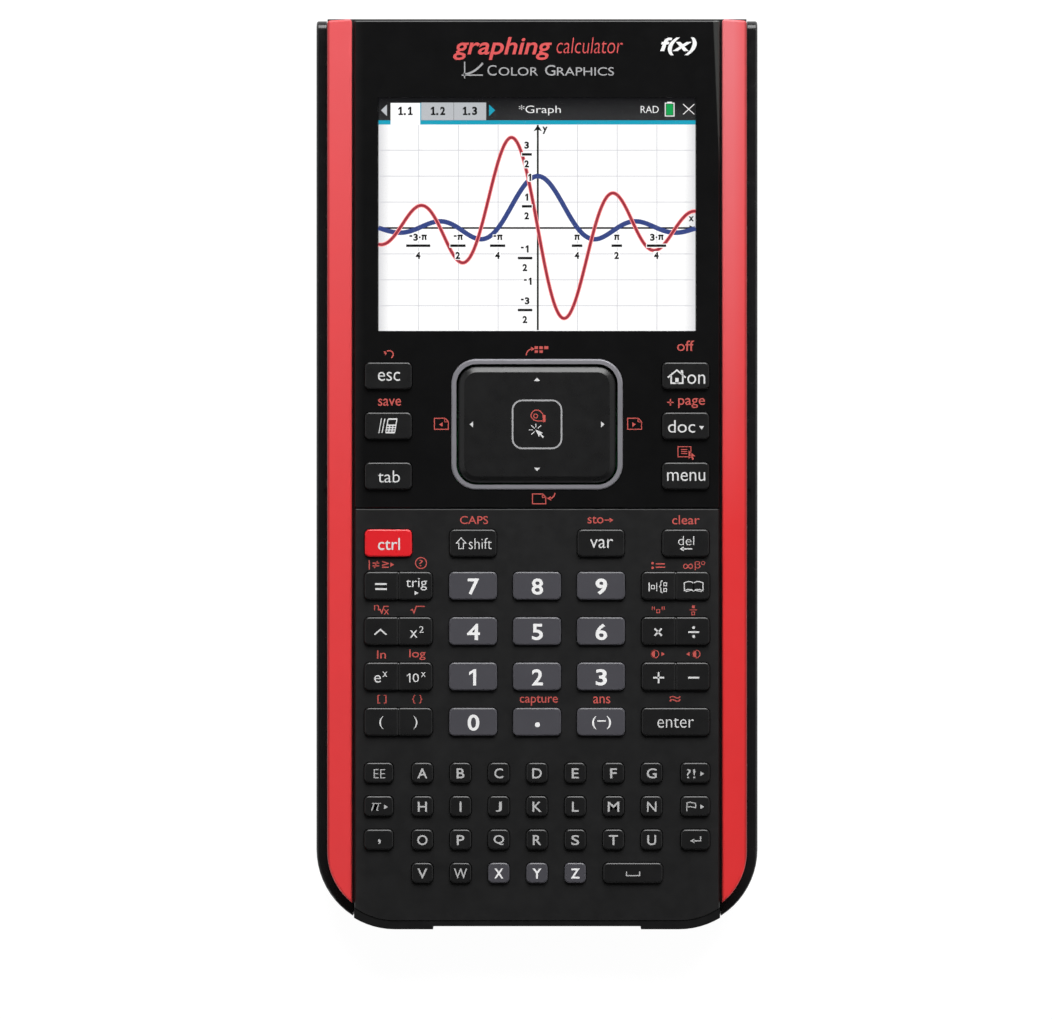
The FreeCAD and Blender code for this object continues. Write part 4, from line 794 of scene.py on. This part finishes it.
# Page, arrow and pointer marks round the touchpad.
art = Art("touchpad_marks", "calculator", INK_RED, UPPER_LEVEL)
for side in (-1, 1):
    loop = [(-1.45, -1.15), (1.45, -1.15), (1.45, 0.45), (0.75, 1.15), (-1.45, 1.15)]
    middle = -19.95 if side < 0 else 20.35
    art.at(middle, 10.48).line(loop, 0.2, closed=True)
    art.line([(0.7, 1.15), (0.7, 0.4), (1.45, 0.4)], 0.15)
    art.shape(triangle(-0.1, -0.15, 0.75, 1.0, 2 if side < 0 else 0))
art.at(0.0, 0.0)
art.line(arc(-0.9, 24.75, 1.35, 180, 100, 8), 0.25)
art.shape(triangle(-0.85, 26.1, 0.75, 0.95))
for x0, x1 in ((-0.5, 0.2), (0.48, 1.22), (1.5, 2.35)):
    art.shape(box(x0, 26.05, x1, 26.65))
for x0, x1 in ((-0.5, 0.2), (0.48, 1.22)):
    art.shape(box(x0, 25.28, x1, 25.8))
art.line([(-0.95, -6.2), (1.82, -6.2), (1.82, -4.85), (1.15, -4.15), (-0.95, -4.15)], 0.2, closed=True)
art.line([(1.1, -4.15), (1.1, -4.9), (1.82, -4.9)], 0.15)
art.line([(3.75, -3.95), (3.6, -4.5), (3.2, -4.95), (2.7, -5.1)], 0.25)
art.shape([(2.1, -5.1), (2.95, -5.55), (2.85, -4.6)])
art.done()


def undo(art, x, y):
    art.at(x, y).line(arc(0.05, -0.1, 0.82, -60, 150, 12), 0.25)
    art.shape(triangle(-0.72, 0.15, 0.8, 0.85, 3))


def list_icon(art):
    """A list, with a pointer on it."""
    art.at(0.0, 0.0).line(box(29.4, 3.6, 32.1, 5.7), 0.17, closed=True)
    for level in (5.11, 4.69, 4.28):
        art.line([(30.04, level), (31.33, level)], 0.17)
    art.shape([(31.6, 4.95), (33.0, 3.75), (32.45, 3.65), (32.75, 3.1), (32.4, 2.95), (32.15, 3.5),
               (31.65, 3.2)])


RED_WEIGHT = 0.003
SIGN_WEIGHT = -0.006
art = Art("upper_red_print", "calculator", INK_RED, UPPER_LEVEL)
undo(art, -30.87, 25.03)
art.at(-30.75, 14.98).text("save", 0.0, 0.0, 4.8, 1.5, RED_WEIGHT)
art.at(30.98, 26.75).text("off", 0.0, 0.0, 3.55, 2.2, RED_WEIGHT)
art.at(31.03, 14.9).line([(-3.9, 0.05), (-2.5, 0.05)], 0.25)
art.line([(-3.2, -0.65), (-3.2, 0.75)], 0.25)
art.text("page", 1.2, -0.1, 5.6, 2.1, RED_WEIGHT)
list_icon(art)
art.done()

art = Art("keypad_red_print", "calculator", INK_RED, KEYPAD_LEVEL)
# Each legend: what it says, its middle and its size.
PRINTED = (
    ("CAPS", -13.14, -9.60, 5.84, 1.67), ("sto", 12.2, -9.55, 3.3, 1.55),
    ("clear", 31.05, -9.55, 5.75, 1.9), ("≠≥", -32.6, -18.85, 3.4, 1.5),
    ("°", 34.66, -18.57, 0.86, 0.86), ("∞", 31.5, -19.25, 2.02, 1.1), ("β", 33.5, -19.12, 1.2, 1.9),
    ("ln", -32.45, -37.62, 1.85, 1.8), ("log", -24.95, -37.7, 3.4, 2.2),
    ("[", -33.0, -46.98, 0.6, 1.75), ("]", -31.7, -46.98, 0.6, 1.75),
    ("{", -25.72, -46.98, 0.7, 1.75), ("}", -24.25, -46.98, 0.7, 1.75),
    ("capture", 0.36, -47.25, 7.95, 2.1), ("ans", 13.5, -47.13, 3.55, 1.46),
    ("≈", 28.79, -46.9, 2.3, 1.2), ("n", -33.48, -27.86, 1.0, 1.1), ("x", -31.42, -28.75, 1.1, 1.1),
    ("?", -24.2, -18.57, 0.75, 1.3),
    ("\"", 24.26, -28.0, 0.62, 0.75), ("\"", 26.31, -28.0, 0.62, 0.75),
)
for words, x, y, width, height in PRINTED:
    art.at(0.0, 0.0).text(words, x, y, width, height, RED_WEIGHT if len(words) > 1 else SIGN_WEIGHT)
art.line([(14.1, -9.6), (15.3, -9.6)], 0.22)
art.shape(triangle(15.55, -9.6, 0.8, 0.95))
art.line([(-35.0, -19.9), (-35.0, -17.9)], 0.25)
art.shape(triangle(-30.2, -18.9, 0.8, 0.95))
art.line(circle(-24.2, -18.57, 1.15), 0.2, closed=True)
for x, wide in ((-32.75, 1.82), (-26.02, 2.6)):
    art.line([(x - 0.35, -28.44), (x, -28.24), (x + 0.35, -28.98), (x + 0.82, -27.6),
              (x + wide, -27.6)], 0.22)
for y in (-18.6, -19.58):
    art.shape(circle(24.11, y, 0.27))
for y in (-18.74, -19.44):
    art.line([(24.76, y), (26.7, y)], 0.26)
art.line(box(24.95, -28.94, 25.6, -28.29), 0.15, closed=True)
art.shape(box(32.32, -28.02, 32.92, -27.42))
art.line([(31.8, -28.34), (33.4, -28.34)], 0.15)
art.line(box(32.27, -29.38, 32.87, -28.78), 0.15, closed=True)
for x, turn in ((24.6, 0), (33.2, 2)):
    art.shape(arc(x, -37.55, 0.85, 90, 270))
    art.line(circle(x, -37.55, 0.8), 0.17, closed=True)
    art.shape(triangle(x + (1.72 if turn == 0 else -1.72), -37.55, 0.7, 0.9, turn))
art.done()

# --- Touchpad marks ------------------------------------------------------------------------------

art = Art("touchpad_square", "touchpad", INK_GREY, PAD_LEVEL).at(PAD_X, PAD_Y)
art.line(rounded(-5.1, -5.0, 5.1, 5.0, 2.0), 0.34, closed=True)
art.done()
art = Art("touchpad_arrows", "touchpad", INK_WHITE, PAD_LEVEL).at(PAD_X, PAD_Y)
for x, y, turn in ((0.0, 9.4, 1), (0.0, -9.4, 3), (-13.7, 0.0, 2), (13.7, 0.0, 0)):
    art.shape(triangle(x, y, 0.7, 1.25, turn))
art.shape([(-0.35, -1.06), (1.24, -1.75), (0.82, -1.96), (1.45, -2.60), (1.19, -2.86), (0.60, -2.17),
           (0.39, -2.60)])
for start, end in (((-0.26, 0.16), (-0.26, -0.58)), ((-1.20, -0.16), (-0.51, -0.85)),
                   ((-1.67, -1.14), (-0.88, -1.14)), ((-1.20, -2.12), (-0.51, -1.48)),
                   ((0.82, -0.21), (0.13, -0.85))):
    art.line([start, end], 0.17)
art.done()
art = Art("touchpad_hand", "touchpad", INK_RED, PAD_LEVEL).at(PAD_X, PAD_Y)
art.line([(1.3, 2.0)] + arc(-0.05, 1.85, 1.2, 30, 195, 8, 0.95) + [(-0.75, 0.95), (0.0, 0.7), (0.8, 0.75),
                                                               (1.3, 0.6)], 0.2)
art.shape([(1.2, 0.45), (1.8, 0.55), (1.75, 1.95), (1.15, 2.0)])
art.line(circle(-0.30, 1.75, 0.42), 0.18, closed=True)
art.done()

# --- The display's picture -----------------------------------------------------------------------

WINDOW_LOW, WINDOW_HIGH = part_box("display_window")
# One screen unit, in millimetres.
UNIT = 0.2086
SCREEN_X = WINDOW_LOW.x / MM
SCREEN_Y = WINDOW_HIGH.y / MM
PANEL_TOP = place("display_panel")[2]
SCREEN_WIDTH = (WINDOW_HIGH.x - WINDOW_LOW.x) / MM / UNIT
SCREEN_HEIGHT = (WINDOW_HIGH.y - WINDOW_LOW.y) / MM / UNIT
# Each layer lies a little over the one before, and the first a little over the panel.
LAYER_STEP = 0.07
FIRST_LAYER = 0.03
LAYER_THICKNESS = 0.04
# The title bar ends at the first of these, and the teal line under it at the second.
TITLE_FOOT = 22.4
BAR_FOOT = 26.6

white = lit("picture_white", (1.0, 1.0, 1.0))
reach = SCREEN_WIDTH * UNIT * MM / 2
# Painted shade of the bezel darkens the white over the last millimetres at both sides, and the title bar
# darkens upwards, over these screen units.
DIM_WIDTH = 2.6
CLIMB = 22
painted_bezel_shade = white.ramp(white.side(), 0.0, 1.0, reach - DIM_WIDTH * MM, reach)
plain = white.bsdf.inputs["Emission Color"].links[0].from_socket
white.link(white.blend(painted_bezel_shade, plain, shade(214, 214, 216)), white.bsdf.inputs["Emission Color"])
dark = lit("picture_title_bar", shade(22, 22, 24))
climb = dark.ramp(dark.axis(1), 0.0, 1.0, (SCREEN_Y - CLIMB * UNIT) * MM, SCREEN_Y * MM)
dark.link(dark.blend(climb, shade(45, 45, 46), shade(22, 22, 24)), dark.bsdf.inputs["Emission Color"])
LIT = {
    "white": white.material, "dark": dark.material,
    "teal": lit("picture_teal", shade(28, 158, 186)).material,
    "tab": lit("picture_tab_grey", shade(184, 187, 191)).material,
    "ink": lit("picture_black", shade(14, 14, 15)).material,
    "pale": lit("picture_pale", shade(240, 240, 240)).material,
    "grid": lit("picture_grid", shade(212, 212, 216)).material,
    "green": lit("picture_green", shade(20, 160, 80)).material,
    "blue": lit("picture_blue", shade(54, 70, 130)).material,
    "red": lit("picture_red", shade(157, 46, 60)).material,
    "pink": lit("picture_pink", shade(255, 150, 150)).material,
}


class Picture(Art):
    """A layer of the display's picture, drawn in screen units from the window's top left corner."""

    def __init__(self, name, colour, layer):
        level = PANEL_TOP + FIRST_LAYER + layer * LAYER_STEP
        super().__init__("picture_" + name, "calculator", LIT[colour], level, LAYER_THICKNESS, 0.0)

    def solid(self, points, faces):
        super().solid([(SCREEN_X + u * UNIT, SCREEN_Y - v * UNIT, z) for u, v, z in points], faces)

    def text(self, words, u, v, width, height, bold=0.0, slant=0.0, steps=4):
        # The lettering is drawn upwards, and v runs down.
        return super().text(words, u, v, width, -height, bold, slant, steps)


EDGE = 0.3
Picture("back", "white", 0).shape(box(EDGE, BAR_FOOT, SCREEN_WIDTH - EDGE, SCREEN_HEIGHT - EDGE)).done()
Picture("title_bar", "dark", 0).shape(box(EDGE, EDGE, SCREEN_WIDTH - EDGE, TITLE_FOOT)).done()
Picture("teal_line", "teal", 0).shape(box(EDGE, TITLE_FOOT, SCREEN_WIDTH - EDGE, BAR_FOOT)).done()

layer = Picture("grid", "grid", 1)
ORIGIN_U, ORIGIN_V = 159.7, 130.2
GRID_U, GRID_V = 39.75, 25.95
GRID_LINE = 0.9
AXIS_LETTER = 0.035
for step in (-3, -2, -1, 1, 2, 3):
    u = ORIGIN_U + step * GRID_U
    v = ORIGIN_V + step * GRID_V
    layer.line([(u, BAR_FOOT + 0.4), (u, SCREEN_HEIGHT - 1)], GRID_LINE)
    layer.line([(1, v), (SCREEN_WIDTH - 1, v)], GRID_LINE)
layer.done()

layer = Picture("axes", "ink", 2)
layer.line([(1, ORIGIN_V), (SCREEN_WIDTH - 1, ORIGIN_V)], 1.8)
layer.line([(ORIGIN_U, BAR_FOOT + 0.4), (ORIGIN_U, SCREEN_HEIGHT - 1)], 1.9)
layer.shape([(ORIGIN_U - 4.4, 33.6), (ORIGIN_U, 31.6), (ORIGIN_U + 4.4, 33.6), (ORIGIN_U, 27.0)])
layer.shape([(311.5, ORIGIN_V - 2.8), (317.0, ORIGIN_V), (311.5, ORIGIN_V + 2.8)])
layer.text("y", 166.9, 32.4, 5.2, 7.4, AXIS_LETTER)
layer.text("x", 313.3, 121.0, 5.2, 5.0, AXIS_LETTER)
layer.done()


# The scales of the graph, in screen units for each unit of x and y.
SCALE_U, SCALE_V = 50.6, 51.9
CURVE_STEPS = 317
# No step falls on x = 0, where both curves would divide by it.
OFF_ZERO = 0.013


def wave(function):
    """Screen points of a curve across the whole window."""
    points = []
    for step in range(CURVE_STEPS + 1):
        u = EDGE + step * (SCREEN_WIDTH - 2 * EDGE) / CURVE_STEPS
        x = (u - ORIGIN_U + OFF_ZERO) / SCALE_U
        points.append((u, ORIGIN_V - SCALE_V * function(x)))
    return points


def bell(x):
    return math.sin(4 * x) / (4 * x)


def slope(x):
    return (4 * x * math.cos(4 * x) - math.sin(4 * x)) / (4 * x * x)


Picture("curve_blue", "blue", 3).line(wave(bell), 4.7).done()
Picture("curve_pink", "pink", 4).line(wave(slope), 4.0).done()
Picture("curve_red", "red", 5).line(wave(slope), 2.5).done()

# The figures along the axes lie over the curves, each with a white edge.
DIGIT_TALL = 7.2
FIGURE_WIDE = 4.6
FIGURE_WEIGHT = 0.045
ONE_WIDE = 3.0
ONE_WEIGHT = 1.8
PI_WIDE, PI_TALL = 5.4, 5.2
BAR_THICK = 2.5
MINUS_THICK = 1.7
EDGE_WIDE = 0.8
layer = Picture("axis_figures", "ink", 7)
edges = Picture("axis_figure_edges", "white", 6)


def bar(u0, u1, v, thick):
    layer.line([(u0, v), (u1, v)], thick)
    edges.line([(u0 - EDGE_WIDE, v), (u1 + EDGE_WIDE, v)], thick + 2 * EDGE_WIDE)


def figures(words, u, v):
    """Small figures, centred on (u, v)."""
    if words == "3·π":
        figures("3", u - 4.0, v)
        layer.shape(box(u - 0.7, v - 0.8, u + 0.9, v + 0.8))
        figures("π", u + 4.4, v)
        return
    wide, tall = FIGURE_WIDE, DIGIT_TALL
    if words == "1":
        wide = ONE_WIDE
        layer.one(u, v, wide, -tall, ONE_WEIGHT)
    elif words == "π":
        wide, tall = PI_WIDE, PI_TALL
        layer.shape([(u - 2.8, v - 1.1), (u - 2.2, v - 2.7), (u + 2.8, v - 2.7), (u + 2.8, v - 1.1)])
        layer.shape([(u - 1.7, v - 1.5), (u - 0.1, v - 1.5), (u - 0.6, v + 2.7), (u - 2.3, v + 2.7)])
        layer.shape([(u + 0.5, v - 1.5), (u + 2.1, v - 1.5), (u + 2.5, v + 2.7), (u + 0.9, v + 2.7)])
    else:
        layer.text(words, u, v, wide, tall, FIGURE_WEIGHT)
    reach_u = wide / 2 + EDGE_WIDE
    reach_v = tall / 2 + EDGE_WIDE
    edges.shape(rounded(u - reach_u, v - reach_v, u + reach_u, v + reach_v, 1.5))


def fraction(top, bottom, u, v, minus, reach, above, below):
    """A fraction round (u, v), its bar about `reach` to each side, its figures `above` and `below`.

    With no bottom it is a whole number, on the level of the bar.
    """
    level = v - above if bottom else v
    start = u + (0.0 if bottom else 3.0)
    if minus:
        start += 2.2 if len(top) == 1 else 1.6
        first = start - (4.0 if len(top) > 1 else 0.0)
        bar(first - 6.2, first - 3.4, level - 1.3, MINUS_THICK)
    figures(top, start, level)
    if bottom:
        bar(u - reach - 0.5, u + reach + 0.8, v, BAR_THICK)
        figures(bottom, u, v + below)


for bar_v, top, bottom in ((56.6, "3", "2"), (79.6, "1", ""), (108.6, "1", "2")):
    fraction(top, bottom, 148.6, bar_v, False, 4.3, 9.2, 9.5)
for bar_v, top, bottom in ((160.4, "1", "2"), (183.6, "1", ""), (212.4, "3", "2")):
    fraction(top, bottom, 146.8, bar_v, True, 6.6, 9.2, 9.5)
for step, top, bottom, reach in ((-3, "3·π", "4", 11.4), (-2, "π", "2", 7.0), (-1, "π", "4", 7.0),
                                 (1, "π", "4", 4.6), (2, "π", "2", 4.6), (3, "3·π", "4", 9.0)):
    fraction(top, bottom, ORIGIN_U + step * GRID_U - 0.6, 148.0, step < 0, reach, 8.4, 9.8)
layer.done()
edges.done()

layer = Picture("page_tabs", "tab", 1)
layer.shape(box(43.0, 4.6, 75.4, 22.2)).shape(box(75.7, 4.6, 108.0, 22.2))
layer.shape([(2.7, 12.4), (8.7, 6.6), (8.7, 18.2)])
layer.done()
Picture("page_tab_open", "white", 2).shape(box(12.3, 5.0, 42.0, 26.8)).done()
layer = Picture("page_teal", "teal", 2)
layer.shape(box(42.0, 5.0, 43.0, 22.4)).shape([(110.9, 6.6), (117.0, 12.4), (110.9, 18.2)])
layer.done()
layer = Picture("page_numbers", "ink", 3)
PAGE_V = 13.0
PAGE_TALL = 8.4
PAGE_WEIGHT = 0.04
PAGE_ONE = (PAGE_V, 3.4, -PAGE_TALL, 1.9, 4.6)
for u, last in ((27.2, "1"), (59.7, "2"), (91.7, "3")):
    layer.one(u - 5.4, *PAGE_ONE)
    layer.shape(box(u - 1.7, 15.2, u + 0.4, 17.2))
    if last == "1":
        layer.one(u + 4.2, *PAGE_ONE)
    else:
        layer.text(last, u + 4.8, PAGE_V, 5.0, PAGE_TALL, PAGE_WEIGHT)
layer.done()
layer = Picture("title_words", "pale", 2)
layer.text("*Graph", 161.7, 12.4, 42.0, 10.2, -0.006)
layer.text("RAD", 271.7, 11.5, 18.0, 7.0, -0.004)
layer.line([(305.2, 6.2), (316.4, 16.4)], 0.8)
layer.line([(305.2, 16.4), (316.4, 6.2)], 0.8)
layer.line(box(287.3, 5.2, 296.1, 18.1), 0.9, closed=True)
layer.shape(box(289.3, 3.8, 294.0, 4.8))
layer.done()
Picture("battery_charge", "green", 1).shape(box(288.4, 6.2, 295.0, 17.0)).done()

# --- Camera, light and floor -----------------------------------------------------------------------

# Straight above, where the outline falls as it does in the photo.
CAMERA_PLACE = (-0.0023, -0.0074, 1.2357)
scene = bpy.context.scene
scene.view_settings.view_transform = "Standard"
camera = bpy.data.objects.new("camera", bpy.data.cameras.new("camera"))
camera.data.lens = 200.0
camera.data.sensor_width = 36.0
camera.data.clip_end = 20.0
camera.location = CAMERA_PLACE
scene.collection.objects.link(camera)
scene.camera = camera


def softbox(name, location, size, radiance, target=(0.0, 0.0, 0.01)):
    """A rectangular lamp that faces the target."""
    light = bpy.data.lights.new(name, "AREA")
    light.shape = "RECTANGLE"
    light.size, light.size_y = size
    light.energy = radiance * math.pi * size[0] * size[1]
    lamp = bpy.data.objects.new(name, light)
    lamp.location = location
    lamp.rotation_euler = (Vector(target) - Vector(location)).to_track_quat("-Z", "Y").to_euler()
    lamp.visible_camera = False
    scene.collection.objects.link(lamp)


softbox("light_top", (0.15, 1.1, 1.0), (1.2, 1.0), 8.0)
softbox("light_left", (-1.3, 0.1, 1.0), (1.5, 0.8), 0.45)
softbox("light_right", (1.3, 0.1, 1.0), (1.5, 0.8), 0.45)

world = bpy.data.worlds.new("studio")
scene.world = world
world.use_nodes = True
sky = world.node_tree
direction = sky.nodes.new("ShaderNodeTexCoord")
split = sky.nodes.new("ShaderNodeSeparateXYZ")
glow = sky.nodes.new("ShaderNodeMapRange")
sky.links.new(direction.outputs["Generated"], split.inputs[0])
sky.links.new(split.outputs[2], glow.inputs["Value"])
for socket, value in (("From Min", 0.05), ("From Max", 0.22), ("To Min", 0.75), ("To Max", 0.04)):
    glow.inputs[socket].default_value = value
sky.links.new(glow.outputs["Result"], sky.nodes["Background"].inputs["Strength"])
sky.nodes["Background"].inputs["Color"].default_value = (1.0, 1.0, 1.0, 1.0)

FLOOR_SIZE = 7.0
FLOOR_CELLS = 24
FLOOR_DROP = 0.1
floor_mesh = bmesh.new()
bmesh.ops.create_grid(floor_mesh, x_segments=FLOOR_CELLS, y_segments=FLOOR_CELLS, size=FLOOR_SIZE / 2)
floor_data = bpy.data.meshes.new("floor")
floor_mesh.to_mesh(floor_data)
floor_mesh.free()
floor_finish = plastic("floor_white", (0.12, 0.12, 0.12), (0.8, 0.9), 1.5, 0.02, 0.01,
                       Emission_Color=(1.0, 1.0, 1.0, 1.0), Emission_Strength=0.97)
# From below the floor is clear, so that the underside can be seen.
clear = floor_finish.add("ShaderNodeBsdfTransparent")
facing = floor_finish.add("ShaderNodeNewGeometry")
one_sided = floor_finish.add("ShaderNodeMixShader")
surface = floor_finish.tree.nodes["Material Output"].inputs["Surface"]
floor_finish.link(facing.outputs["Backfacing"], one_sided.inputs[0])
floor_finish.link(floor_finish.bsdf.outputs[0], one_sided.inputs[1])
floor_finish.link(clear.outputs[0], one_sided.inputs[2])
floor_finish.link(one_sided.outputs[0], surface)
floor_data.materials.append(floor_finish.material)
floor = bpy.data.objects.new("floor", floor_data)
floor.location.z = CAD_BOX[0][2] - FLOOR_DROP * MM
scene.collection.objects.link(floor)
